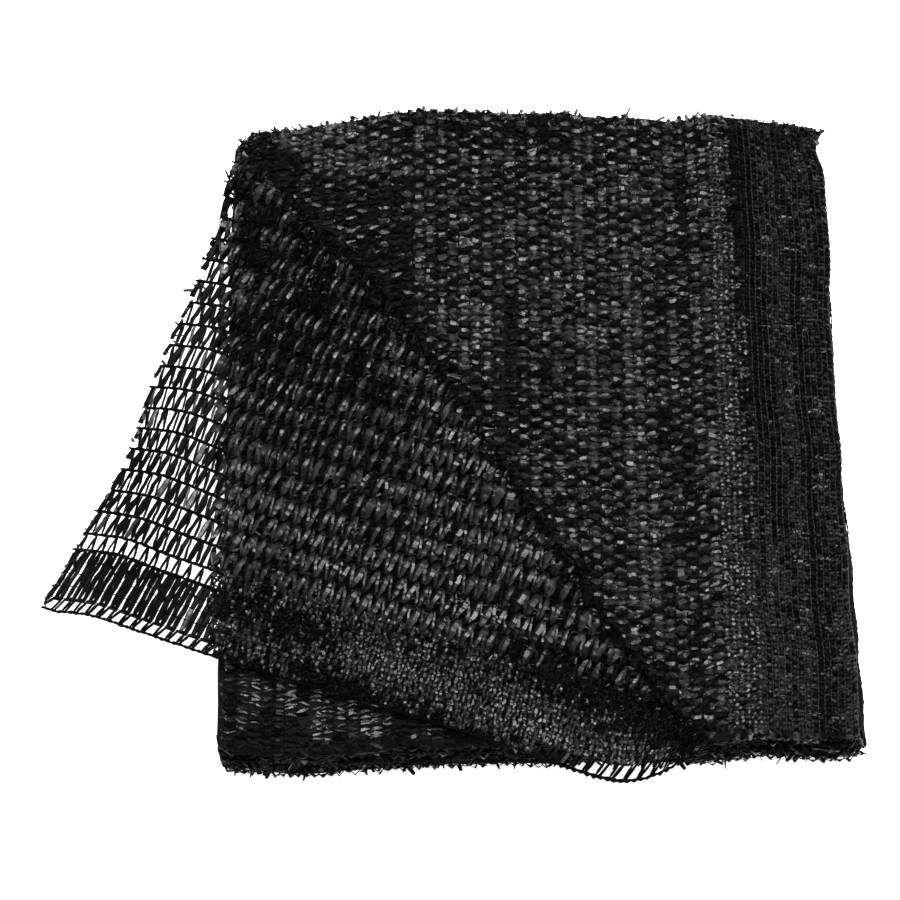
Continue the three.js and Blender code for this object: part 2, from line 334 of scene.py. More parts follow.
# %% The crease and the knitted edge, in plan
CREASE_TOP, CREASE_FOOT = np.array((-113.0, 114.0)), np.array((67.0, -128.0))
CREASE = np.array([CREASE_TOP, (-90, 86), (-62, 57), (-13, -18), (44, -106), CREASE_FOOT])
KNITTED_EDGE = np.array([
    (-195.0, -66), (-174, -73), (-152, -83), (-123, -94), (-83, -106), (-33, -121), (6, -134),
    (38, -140), CREASE_FOOT,
])
DOWN_CREASE = (CREASE_FOOT - CREASE_TOP) / np.linalg.norm(CREASE_FOOT - CREASE_TOP)
OFF_CREASE = np.array((DOWN_CREASE[1], -DOWN_CREASE[0]))
TURN_RADIUS = 1.6
CORNER_LEVEL = 31.8  # the middle of the ply where it lies on the stack
GROUND_LEVEL = 0.65
HANG_REACH = 66.0  # how far past the stack the tip comes down to the ground
HANG = (CORNER_LEVEL - GROUND_LEVEL) / HANG_REACH**2


def through(points, count=400):
    """A smooth curve through plan points, evenly spaced, and how far along it each point is."""
    ends = np.vstack([2 * points[0] - points[1], points, 2 * points[-1] - points[-2]])
    samples = []
    for a, b, c, d in zip(ends, ends[1:], ends[2:], ends[3:]):
        for t in np.linspace(0, 1, 40, endpoint=False):
            bent = (2 * a - 5 * b + 4 * c - d) * t**2 + (3 * b - a - 3 * c + d) * t**3
            samples.append(0.5 * (2 * b + (c - a) * t + bent))
    samples = np.array([*samples, points[-1]])
    distance = np.concatenate([[0], np.cumsum(np.linalg.norm(np.diff(samples, axis=0), axis=1))])
    even = np.linspace(0, distance[-1], count)
    return even, np.stack([np.interp(even, distance, samples[:, i]) for i in (0, 1)], -1)


_, crease_curve = through(CREASE)
crease_along, crease_off = crease_curve @ DOWN_CREASE, crease_curve @ OFF_CREASE
edge_length, edge_curve = through(KNITTED_EDGE)
edge_step = edge_length[1]


def off_crease(x, y):
    """How far plan points are outside the crease, on the turned corner's side of it."""
    along = x * DOWN_CREASE[0] + y * DOWN_CREASE[1]
    off = x * OFF_CREASE[0] + y * OFF_CREASE[1]
    return off - np.interp(along, crease_along, crease_off), along, off


print(f"The corner's knitted edge is {edge_length[-1]:.0f} mm long.")

# %% [markdown]
# The corner has wrinkles of its own, where the crease runs out at the front and the cloth is gathered.

# %% The corner's surface
WRINKLES = [
    ((-30, -72), (60, -122), 3.5, -2.0),
    ((-20, -62), (62, -116), 3.0, 1.2),
    ((-40, -92), (50, -130), 4.0, 1.1),
    ((-12, -104), (58, -132), 3.0, -1.6),
    ((-10, -46), (44, -92), 3.5, -0.8),
    ((-110, 70), (-96, 96), 4, 1.0),
    ((-118, 10), (20, -40), 9, 0.6),
    ((-118, -30), (0, -66), 8, -0.5),
    ((-118, -72), (-20, -104), 5, -0.9),
    ((-90, -92), (-10, -118), 5, 0.9),
]


def corner(u, v):
    """Where the turned corner lies, for u from its knitted edge and v from its cut end."""
    u, v = np.broadcast_arrays(np.asarray(u, float), np.asarray(v, float))
    inside = np.clip(v, 0, edge_length[-1])
    foot = np.stack([np.interp(inside, edge_length, edge_curve[:, i]) for i in (0, 1)], -1)
    first, last = edge_curve[1] - edge_curve[0], edge_curve[-1] - edge_curve[-2]
    foot = foot + np.minimum(v, 0)[..., None] * first / edge_step
    foot = foot + np.maximum(v - edge_length[-1], 0)[..., None] * last / edge_step
    lean = np.radians(65.5 + 7.8 * smooth(v, 0, 110))
    slack = -5 * np.exp(-np.maximum(v, 0) / 25) * np.sin(math.pi * np.clip((u - 15) / 175, 0, 1))
    x = foot[..., 0] + (u + slack) * np.cos(lean)
    y = foot[..., 1] + (u + slack) * np.sin(lean)

    # The cut end is drawn in at two places and stands out at its own two corners.
    drawn_in = 8 * np.exp(-(((u - 62) / 34) ** 2)) + 2.2 * np.exp(-(((u - 125) / 30) ** 2))
    drawn_in = drawn_in - 2.5 * np.exp(-u.clip(0) / 12)
    drawn_in = drawn_in - 3.5 * np.exp(-(((u - 180) / 9) ** 2)) - 9 * smooth(u, 176, 198)
    x = x + drawn_in * np.exp(-np.maximum(v, 0) / 22)

    # It is fullest beside the crease, hangs down past the stack's side and front, and is wrinkled.
    beyond, along, off = off_crease(x, y)
    level = np.maximum(beyond, 0)
    left = np.maximum(0, STACK_LEFT - 2 - x)
    front = np.maximum(0, -128 - y)
    hump = 1.4 * (1 - np.exp(-level / 3)) * np.exp(-level / 14)
    z = CORNER_LEVEL + hump - HANG * left**2 - 0.05 * front**2
    z = z + (plan_at(x, 3) - 1) * STACK_TOP * smooth(x, STACK_LEFT - 1, STACK_LEFT + 1)
    for start, end, width, rise in WRINKLES:
        z = z + rise * np.exp(-((beside(x, y, start, end) / width) ** 2)) * smooth(level, 0, 6)
    z = np.maximum(GROUND_LEVEL, z)

    # Past the crease the ply goes round and back under itself.
    round_the_crease = np.clip(-beyond / TURN_RADIUS, 0, math.pi)
    under = np.maximum(-beyond - math.pi * TURN_RADIUS, 0)
    turned = off - beyond - TURN_RADIUS * np.sin(round_the_crease) + under
    off = np.where(beyond < 0, turned, off)
    x = along * DOWN_CREASE[0] + off * OFF_CREASE[0]
    y = along * DOWN_CREASE[1] + off * OFF_CREASE[1]
    z = z - TURN_RADIUS * (1 - np.cos(round_the_crease)) - 0.09 * under
    return np.stack([x, y, z], -1), beyond


# %% [markdown]
# ## Plies as meshes
#
# A ply is a grid of points. Its UV map holds the flat cloth, in metres, so one unit of the map is one
# metre of net. Attributes say in which direction the ply faces, where the net ends, how tight it is, and
# how many of its tapes are dull, which is where shade is painted on them.

# %% A mesh from a grid of points
def facing(points, outwards):
    """The direction each grid point faces."""
    down, right = np.gradient(points, axis=0), np.gradient(points, axis=1)
    normal = np.cross(right, down)
    normal /= np.maximum(np.linalg.norm(normal, axis=-1, keepdims=True), 1e-9)
    return normal * outwards


def ply_mesh(name, points, flat, keep=None, tight=None, dull=None, faces_kept=None, outwards=1):
    """A mesh from a grid of points in millimetres, with the flat cloth in its UV map."""
    rows, columns = points.shape[:2]
    index = np.arange(rows * columns).reshape(rows, columns)
    quads = np.stack([index[:-1, :-1], index[:-1, 1:], index[1:, 1:], index[1:, :-1]], -1)
    if outwards < 0:
        quads = quads[..., ::-1]
    quads = quads[faces_kept] if faces_kept is not None else quads.reshape(-1, 4)
    used, quads = np.unique(quads, return_inverse=True)
    quads = quads.reshape(-1, 4)
    mesh = bpy.data.meshes.new(name)
    mesh.from_pydata((points.reshape(-1, 3)[used] * MM).tolist(), [], quads.tolist())
    flat_of = flat.reshape(-1, 2)[used] * MM
    layer = mesh.uv_layers.new(name="flat")
    layer.data.foreach_set("uv", flat_of[quads.ravel()].astype(np.float32).ravel())
    faces = facing(points, outwards).reshape(-1, 3)[used]
    attribute = mesh.attributes.new("facing", "FLOAT_VECTOR", "POINT")
    attribute.data.foreach_set("vector", faces.astype(np.float32).ravel())
    for key, values, usual in (("keep", keep, 1.0), ("tight", tight, 0.0), ("dull", dull, 0.0)):
        values = np.full(rows * columns, usual) if values is None else values.ravel()
        attribute = mesh.attributes.new(key, "FLOAT", "POINT")
        attribute.data.foreach_set("value", values[used].astype(np.float32))
    mesh.shade_smooth()
    ply = bpy.data.objects.new(name, mesh)
    scene.collection.objects.link(ply)
    return ply


# %% [markdown]
# ## The whole cloth
#
# First comes the cloth itself, as one thin sheet on all its folds. It is fine where it shows, in the top
# layer, and coarse inside the stack. Right of the crease its top ply isn't there, because it is turned
# back.

# %% Stations across and along
def stations(lengths, steps):
    """Evenly spaced places in each of several stretches that follow one another."""
    places, start = [0.0], 0.0
    for length, count in zip(lengths, steps):
        places.extend(start + length * np.arange(1, count + 1) / count)
        start += length
    return np.array(places)


u_stations = stations(
    [path_length(p) for p in WIDTH_PATH],
    [round(path_length(p) / 8) if p[0] == "run" else 6 for p in WIDTH_PATH],
)
v_stations = stations([RUN, TURN] * TOP + [RUN], [14, 7] * TOP + [52])
TOP_START = TOP * (RUN + TURN)  # where the top layer begins, along the cloth

# %% The folded sheet
sheet_x, sheet_depth = across(u_stations)
sheet_points = place(sheet_x[None, :], sheet_depth[None, :], v_stations[:, None])
sheet_flat = np.stack(np.broadcast_arrays(u_stations[None, :], v_stations[:, None]), -1)


def lift_to_crease(points):
    """The top ply rises a little to where it turns back."""
    beyond, _, _ = off_crease(points[..., 0], points[..., 1])
    return 1.7 * np.exp(-np.maximum(beyond, 0) / 18)


in_top_ply = (u_stations <= TOP_PLY_EDGE - LEFT_TURN)[None, :] & (v_stations >= TOP_START)[:, None]
sheet_points[..., 2] += np.where(in_top_ply, lift_to_crease(sheet_points), 0)
past_crease = in_top_ply & (off_crease(sheet_points[..., 0], sheet_points[..., 1])[0] < 3)
turned_back = past_crease[:-1, :-1] | past_crease[1:, 1:] | past_crease[1:, :-1] | past_crease[:-1, 1:]
folded_sheet = ply_mesh("folded_sheet", sheet_points, sheet_flat, faces_kept=~turned_back, outwards=-1)
print("The folded sheet has", len(folded_sheet.data.polygons), "faces.")

# %% [markdown]
# ## Knitting with Geometry Nodes
#
# A net of thousands of stitches follows a rule, so Geometry Nodes make it. The idea is to knit the net
# flat, in the same measures as the plies' UV maps, and then to lay each of its points on a ply. A net
# could also be a picture with holes in it, but then it would be paper-thin, and its tapes would not
# shine one by one.
#
# A few short helpers keep the trees readable: each adds one node and returns what comes out of it.

# %% Helpers that add nodes
class Tree:
    """A node tree with short ways to add to it."""

    def __init__(self, name, kind="GeometryNodeTree"):
        self.group = bpy.data.node_groups.new(name, kind)
        self.group_in = self.group.nodes.new("NodeGroupInput")
        self.group_out = self.group.nodes.new("NodeGroupOutput")

    def socket(self, name, kind, value=None, side="INPUT"):
        made = self.group.interface.new_socket(name=name, in_out=side, socket_type="NodeSocket" + kind)
        if value is not None:
            made.default_value = value

    def sockets(self, kind, values):
        """Inputs of one kind, each with the value that it starts with."""
        for name, value in values.items():
            self.socket(name, kind, value)

    def put_out(self, name, kind, value):
        self.socket(name, kind, side="OUTPUT")
        self.wire(value, self.group_out.inputs[name])

    def given(self, name):
        return self.group_in.outputs[name]

    def wire(self, value, into):
        if isinstance(value, bpy.types.NodeSocket):
            self.group.links.new(value, into)
        elif value is not None:
            into.default_value = value

    def add(self, kind, inputs=(), out=0, **settings):
        node = self.group.nodes.new(kind)
        for key, value in settings.items():
            setattr(node, key, value)
        for key, value in dict(inputs).items():
            self.wire(value, node.inputs[key])
        return node.outputs[out] if out is not None else node

    def calc(self, operation, *values):
        return self.add("ShaderNodeMath", enumerate(values), operation=operation)


# %% [markdown]
# The trees of the net have more in common. They number their points and curves, draw random numbers for
# them, ask the ply what it is like at a place of the flat cloth, and sweep a ring along their curves.

# %% Helpers for the trees of the net
class NetTree(Tree):
    """A tree that makes part of a net on a ply."""

    def vector(self, operation, a, b=None):
        """Calculates with vectors. The factor of a scale goes into a socket of its own."""
        inputs = {0: a, (3 if operation == "SCALE" else 1): b}
        return self.add("ShaderNodeVectorMath", inputs, operation=operation)

    def point(self, x, y, z=0.0):
        return self.add("ShaderNodeCombineXYZ", {0: x, 1: y, 2: z})

    def split(self, vector):
        return self.add("ShaderNodeSeparateXYZ", {0: vector}, out=None).outputs

    def position(self):
        return self.add("GeometryNodeInputPosition")

    def named(self, name, kind="FLOAT"):
        return self.add("GeometryNodeInputNamedAttribute", {"Name": name}, data_type=kind)

    def random(self, low, high, ident, salt=0):
        """A random number for each ident. Uses with different salts know nothing of each other."""
        seed = self.calc("ADD", self.given("Seed"), float(salt))
        inputs = {2: low, 3: high, 7: ident, 8: seed}
        return self.add("FunctionNodeRandomValue", inputs, out=1, data_type="FLOAT")

    def on_ply(self, value, place, kind="FLOAT"):
        """The ply's value at a place of the flat cloth."""
        flat = self.named("flat", "FLOAT_VECTOR")
        inputs = {"Mesh": self.given("Ply"), "Value": value, "UV Map": flat, "Sample UV": place}
        return self.add("GeometryNodeSampleUVSurface", inputs, data_type=kind)

    def place_in_curve(self, in_curve):
        """For a point: its index, the curve it belongs to, and its place in that curve."""
        index = self.add("GeometryNodeInputIndex")
        curve = self.calc("FLOOR", self.calc("DIVIDE", index, in_curve))
        return index, curve, self.calc("SUBTRACT", index, self.calc("MULTIPLY", curve, in_curve))

    def curves(self, count, where, curve, order, stored):
        """Curves through points, with some values stored on the points."""
        points = self.add("GeometryNodePoints", {"Count": count, "Position": where})
        for name, value in stored.items():
            inputs = {"Geometry": points, "Name": name, "Value": value}
            points = self.add("GeometryNodeStoreNamedAttribute", inputs, data_type="FLOAT", domain="POINT")
        inputs = {"Points": points, "Curve Group ID": curve, "Weight": order}
        return self.add("GeometryNodePointsToCurves", inputs)

    def without(self, curves, lost, domain="POINT"):
        return self.add("GeometryNodeDeleteGeometry", {"Geometry": curves, "Selection": lost}, domain=domain)

    def sweep(self, curves, profile=None):
        """Tubes with closed ends, as thick as the curves' radius. A profile changes their ring's shape."""
        inputs = {"Resolution": self.given("Sides"), "Radius": 1.0}
        ring = self.add("GeometryNodeCurvePrimitiveCircle", inputs)
        if profile is not None:
            ring = self.add("GeometryNodeSetPosition", {"Geometry": ring, "Position": profile})
        radius = self.add("GeometryNodeInputRadius")
        inputs = {"Curve": curves, "Profile Curve": ring, "Scale": radius, "Fill Caps": True}
        return self.add("GeometryNodeCurveToMesh", inputs)

    def faceted(self, mesh):
        return self.add("GeometryNodeSetShadeSmooth", {"Geometry": mesh, "Shade Smooth": False})

    def finished(self, geometry, plastic):
        real = self.add("GeometryNodeRealizeInstances", {"Geometry": geometry})
        return self.add("GeometryNodeSetMaterial", {"Geometry": real, "Material": self.given(plastic)})


# %% [markdown]
# `lay on ply` is the step that both the tapes and the chains share. It takes things knitted flat, with
# their height above the cloth as z, and moves each point to its place on the ply. On the way it pulls
# the net a little out of line, because no net is knitted evenly.

# %% The shared steps: lay on ply, and trim
def make_lay_on_ply():
    tree = NetTree("lay on ply")
    tree.socket("Flat", "Geometry")
    tree.socket("Ply", "Geometry")
    tree.socket("Unevenness", "Float", 0.001)
    where = tree.position()
    x, y, height = tree.split(where)
    noise = tree.add(
        "ShaderNodeTexNoise", {"Vector": where, "Scale": 38.0, "Detail": 2.0}, out=1, noise_dimensions="3D"
    )
    centred = tree.vector("SUBTRACT", noise, (0.5, 0.5, 0.5))
    pulled = tree.vector("SCALE", centred, tree.given("Unevenness"))
    flat = tree.vector("ADD", tree.point(x, y), pulled)
    on_cloth = tree.on_ply(tree.position(), flat, "FLOAT_VECTOR")
    outwards = tree.on_ply(tree.named("facing", "FLOAT_VECTOR"), flat, "FLOAT_VECTOR")
    laid = tree.vector("ADD", on_cloth, tree.vector("SCALE", outwards, height))
    above_ground = tree.vector("MAXIMUM", laid, (-9, -9, 0.0001))
    moved = tree.add("GeometryNodeSetPosition", {"Geometry": tree.given("Flat"), "Position": above_ground})
    tree.put_out("Laid", "Geometry", moved)
    return tree.group


lay_on_ply = make_lay_on_ply()


def trimmed(tree, curves, limit):
    """Curves without what lies off the ply, and without scraps of fewer than three points."""
    kept = tree.on_ply(tree.named("keep"), tree.position())
    curves = tree.without(curves, tree.calc("LESS_THAN", kept, limit))
    points_left = tree.add("GeometryNodeSplineLength", out=1)
    return tree.without(curves, tree.calc("LESS_THAN", points_left, 3.0), "CURVE")


def laid(tree, flat):
    inputs = {"Flat": flat, "Ply": tree.given("Ply"), "Unevenness": tree.given("Unevenness")}
    return tree.add("GeometryNodeGroup", inputs, node_tree=lay_on_ply)


# %% [markdown]
# ## Tapes
#
# A tape is a flat strip of film. It goes from one chain to the next and back, once in two courses, and
# is squeezed together where a stitch holds it. Between the chains it bows up, twists and crumples. One
# curve for each gap between two chains carries a whole tape; its radius, tilt and place are random from
# stroke to stroke. A creased profile swept along it gives the film its facets.
#
# The tree begins with counting: a point's index tells its gap, its stroke and its place in the stroke.
# Every second stroke runs behind the chain's loops, in the shade of the others, and that shade is painted
# on it with the dull film. "Backs" says how many of those strokes get it, and "Checks" lets neighbouring
# gaps take turns, so that the shine makes a draughtboard instead of stripes. The ply's own attributes say
# more: where it is "tight" the tapes are drawn narrow and flat, and where it is "dull" more of them get
# the dull film, which paints shade there, and fewer of them shine.

# %% Which stroke a point belongs to
STROKE_LIMIT = 4099.0  # more strokes than a tape ever has, so that every stroke gets a number of its own


def count_strokes(tree):
    """What is known of each point: its gap and stroke, and where in the stroke it is."""
    calc, at = tree.calc, SimpleNamespace()
    steps = tree.given("Steps")
    at.points_in_tape = calc("MULTIPLY", tree.given("Courses"), steps)
    at.index, at.gap, at.rank = tree.place_in_curve(at.points_in_tape)
    at.stroke = calc("FLOOR", calc("DIVIDE", calc("ADD", at.rank, 0.5), steps))
    step = calc("SUBTRACT", at.rank, calc("MULTIPLY", at.stroke, steps))
    at.along = calc("DIVIDE", step, calc("SUBTRACT", steps, 1.0))
    at.middle = calc("SINE", calc("MULTIPLY", at.along, math.pi))  # 0 at both chains, 1 between them
    at.odd = calc("FLOORED_MODULO", at.stroke, 2.0)
    at.towards = calc("MULTIPLY_ADD", at.odd, -2.0, 1.0)  # 1 on even strokes, -1 on odd ones
    ident = calc("MULTIPLY_ADD", at.gap, STROKE_LIMIT, at.stroke)
    at.varied = lambda low, high, salt, by=ident: tree.random(low, high, by, salt)
    return at


# %% [markdown]
# The flat place comes next. Odd strokes run back to the chain that even strokes come from. "Rise" says
# how far along the cloth a stroke climbs, "Pairing" draws strokes together two by two, "Stray" sets them
# at random, and "Lean" slants the whole row.

# %% A stroke's place in the flat net
def place_in_net(tree, at):
    given, calc, varied = tree.given, tree.calc, at.varied
    zigzag = calc("ABSOLUTE", calc("SUBTRACT", at.along, at.odd))
    x = calc("MULTIPLY_ADD", calc("ADD", at.gap, zigzag), given("Spacing"), given("First Chain"))
    from_middle = calc("SUBTRACT", at.along, 0.5)
    risen = calc("MULTIPLY_ADD", from_middle, given("Rise"), 0.5)
    risen = calc("MULTIPLY_ADD", at.towards, given("Pairing"), risen)
    strayed = calc("MULTIPLY_ADD", from_middle, varied(-1.6, 1.6, 9), varied(-1, 1, 1))
    risen = calc("MULTIPLY_ADD", strayed, given("Stray"), risen)
    course = calc("MULTIPLY", calc("ADD", at.stroke, risen), given("Course"))
    leaned = calc("MULTIPLY", calc("SUBTRACT", x, given("First Chain")), given("Lean"))
    y = calc("ADD", calc("ADD", course, given("First Course")), leaned)
    jitter = calc("MULTIPLY", varied(-1, 1, 2, by=at.index), given("Crumple"))
    return x, calc("MULTIPLY_ADD", jitter, at.middle, y)


# %% Whether a stroke is dull: painted shade, and some at random
def dullness(tree, at, flat):
    """Whether it gets the dull film: by the ply and behind the loops, where that paints shade, and at random
    by the gap that the stroke is in.
    """
    given, calc = tree.given, tree.calc
    dull = calc("ADD", tree.on_ply(tree.named("dull"), flat), given("Dullness"))
    dull = calc("MULTIPLY_ADD", at.varied(-1, 1, 11, by=at.gap), given("Streaks"), dull)
    behind = calc("FLOORED_MODULO", calc("MULTIPLY_ADD", at.gap, given("Checks"), at.stroke), 2.0)
    dull = calc("MULTIPLY_ADD", behind, given("Backs"), dull)
    dull = calc("LESS_THAN", at.varied(0, 1, 10), dull)
    return calc("MAXIMUM", dull, calc("LESS_THAN", at.middle, 0.01))


# %% How high a stroke bows above the ply
def bowed(tree, at, tight):
    given, calc, varied = tree.given, tree.calc, at.varied
    bow = calc("MULTIPLY", calc("MULTIPLY", varied(given("Least Bow"), 1, 3), given("Bow")), at.middle)
    bow = calc("MULTIPLY", bow, calc("MULTIPLY_ADD", calc("ABSOLUTE", tight), -0.4, 1.0))
    crumple = calc("MULTIPLY", varied(-1, 1, 4, by=at.index), given("Crumple"))
    bow = calc("MULTIPLY_ADD", calc("MULTIPLY", crumple, at.middle), 1.8, bow)
    return calc("ADD", bow, given("Height"))


# %% [markdown]
# A stroke is squeezed to its "Neck" at the chains and widest between them. Its twist is greatest there
# too. Tight strokes are narrower, and lean one way instead of at random.

# %% A stroke's width and twist
def half_width(tree, at, tight):
    given, calc, varied = tree.given, tree.calc, at.varied
    wide = calc("MULTIPLY_ADD", varied(-1, 1, 6), given("Spread"), 1.0)
    neck = given("Neck")
    open_width = calc("MULTIPLY", calc("SUBTRACT", wide, neck), calc("POWER", at.middle, given("Bluntness")))
    radius = calc("MULTIPLY", calc("ADD", open_width, neck), calc("MULTIPLY", given("Width"), 0.5))
    ragged = varied(-1, 1, 12, by=at.index)
    for cause, share in ((tight, -0.12), (at.towards, given("Alternate")), (ragged, given("Raggedness"))):
        radius = calc("MULTIPLY", radius, calc("MULTIPLY_ADD", cause, share, 1.0))
    return radius


def twist(tree, at, tight):
    given, calc, varied = tree.given, tree.calc, at.varied
    tilt = calc("MULTIPLY", calc("MULTIPLY", varied(-1, 1, 7), given("Twist")), at.middle)
    tilt = calc("MULTIPLY_ADD", varied(-0.3, 0.3, 8, by=at.index), given("Twist"), tilt)
    tilt = calc("MULTIPLY", tilt, calc("MULTIPLY_ADD", tight, 0.6, 1.0))
    return calc("MULTIPLY_ADD", tight, calc("MULTIPLY", given("Slant"), at.towards), tilt)


# %% The tree that knits tapes
def make_tapes():
    tree = NetTree("knitted tapes")
    tree.socket("Ply", "Geometry")
    tree.sockets("Float", {"First Chain": 0.0, "Spacing": 0.0085, "Course": 0.0026, "Width": 0.0012})
    tree.sockets("Int", {"Gaps": 10, "Courses": 100, "Steps": 5, "Sides": 6, "Seed": 0})
    tree.sockets("Float", {
        "First Course": 0.0, "Lean": 0.0, "Rise": 0.6, "Pairing": 0.0, "Stray": 0.3, "Unevenness": 0.001,
        "Spread": 0.35, "Neck": 0.35, "Bluntness": 0.4, "Raggedness": 0.12, "Alternate": 0.0,
        "Flatness": 0.22, "Fold": 0.35, "Twist": 1.1, "Slant": -0.6, "Crumple": 0.00035,
        "Height": 0.0004, "Bow": 0.0008, "Least Bow": 0.35,
        "Dullness": 0.0, "Streaks": 0.0, "Backs": 0.0, "Checks": 0.0,
    })
    given, calc = tree.given, tree.calc
    at = count_strokes(tree)
    x, y = place_in_net(tree, at)
    flat = tree.point(x, y)
    tight = tree.on_ply(tree.named("tight"), flat)
    where = tree.point(x, y, bowed(tree, at, tight))
    stored = {"strand": at.varied(0, 1, 5), "tight": tight, "dull": dullness(tree, at, flat)}
    curves = tree.curves(calc("MULTIPLY", at.points_in_tape, given("Gaps")), where, at.gap, at.rank, stored)
    radius = half_width(tree, at, tree.named("tight"))
    curves = tree.add("GeometryNodeSetCurveRadius", {"Curve": curves, "Radius": radius})
    curves = tree.add("GeometryNodeSetCurveNormal", {"Curve": curves}, mode="Z_UP")
    tilt = twist(tree, at, tree.named("tight"))
    curves = tree.add("GeometryNodeSetCurveTilt", {"Curve": curves, "Tilt": tilt})
    curves = trimmed(tree, curves, 0.9)

    # The profile: a flattened ring with a crease down its back.
    ring_x, ring_y, _ = tree.split(tree.position())
    bend = calc("MULTIPLY", calc("ABSOLUTE", ring_x), given("Fold"))
    profile = tree.point(ring_x, calc("MULTIPLY_ADD", ring_y, given("Flatness"), bend))
    tree.put_out("Laid", "Geometry", tree.faceted(laid(tree, tree.sweep(curves, profile))))
    return tree.group


tapes_tree = make_tapes()
print("The tapes' tree has", len(tapes_tree.nodes), "nodes.")

# %% [markdown]
# ## Chains
#
# A chain is a row of loops of thin yarn, each drawn through the one before. Seen from a hand's breadth
# it is a cord that is thick and thin by turns, so a curve with a bead for each stitch is enough. Past
# the ply's end some chains stick out farther than others.

# %% The tree that knits chains
LOOP_HEIGHT = 0.00018  # how far each loop stands above the thin place before it
LOOP_SHIFT = 0.00016  # how far it may lie out of line
KEPT_FROM = (0.25, 0.9)  # a chain stops where the ply's "keep" falls below a number between these


def make_chains():
    tree = NetTree("chain stitches")
    tree.socket("Ply", "Geometry")
    tree.sockets("Float", {"First Chain": 0.0, "Spacing": 0.0085, "Course": 0.0026, "Width": 0.0007})
    tree.sockets("Int", {"Chains": 11, "Courses": 100, "Sides": 5, "Seed": 0})
    tree.sockets("Float", {"First Course": 0.0, "Lean": 0.0, "Height": 0.0006, "Unevenness": 0.001})
    given, calc = tree.given, tree.calc

    in_curve = calc("MULTIPLY_ADD", given("Courses"), 2.0, 1.0)
    index, chain, rank = tree.place_in_curve(in_curve)
    loop = calc("FLOORED_MODULO", rank, 2.0)
    x = calc("MULTIPLY_ADD", chain, given("Spacing"), given("First Chain"))
    leaned = calc("MULTIPLY", calc("SUBTRACT", x, given("First Chain")), given("Lean"))
    half_course = calc("MULTIPLY", given("Course"), 0.5)
    y = calc("MULTIPLY_ADD", rank, half_course, calc("ADD", given("First Course"), leaned))
    z = calc("MULTIPLY_ADD", loop, LOOP_HEIGHT, given("Height"))
    sideways = tree.random(-LOOP_SHIFT, LOOP_SHIFT, index)
    count = calc("MULTIPLY", in_curve, given("Chains"))
    stored = {"strand": tree.random(0, 1, chain)}
    curves = tree.curves(count, tree.point(calc("ADD", x, sideways), y, z), chain, rank, stored)
    bead = calc("MULTIPLY_ADD", loop, 0.55, 0.7)
    bead = calc("MULTIPLY", bead, tree.random(0.85, 1.2, index, 7))
    radius = calc("MULTIPLY", bead, calc("MULTIPLY", given("Width"), 0.5))
    curves = tree.add("GeometryNodeSetCurveRadius", {"Curve": curves, "Radius": radius})
    curves = tree.add("GeometryNodeSetCurveNormal", {"Curve": curves}, mode="Z_UP")
    x_here = tree.split(tree.position())[0]
    chain_here = calc("DIVIDE", calc("SUBTRACT", x_here, given("First Chain")), given("Spacing"))
    curves = trimmed(tree, curves, tree.random(*KEPT_FROM, calc("ROUND", chain_here), 3))
    tree.put_out("Laid", "Geometry", laid(tree, tree.sweep(curves)))
    return tree.group


chains_tree = make_chains()
print("The chains' tree has", len(chains_tree.nodes), "nodes.")

# %% [markdown]
# ## Loose ends
#
# Where the cloth was cut, and along worn folds, short ends of tape stand out. Each is rooted at a random
# place of the ply and goes off in a direction of its own, with a bend in it.

# %% The tree that adds loose ends
POINTS_IN_END = 5


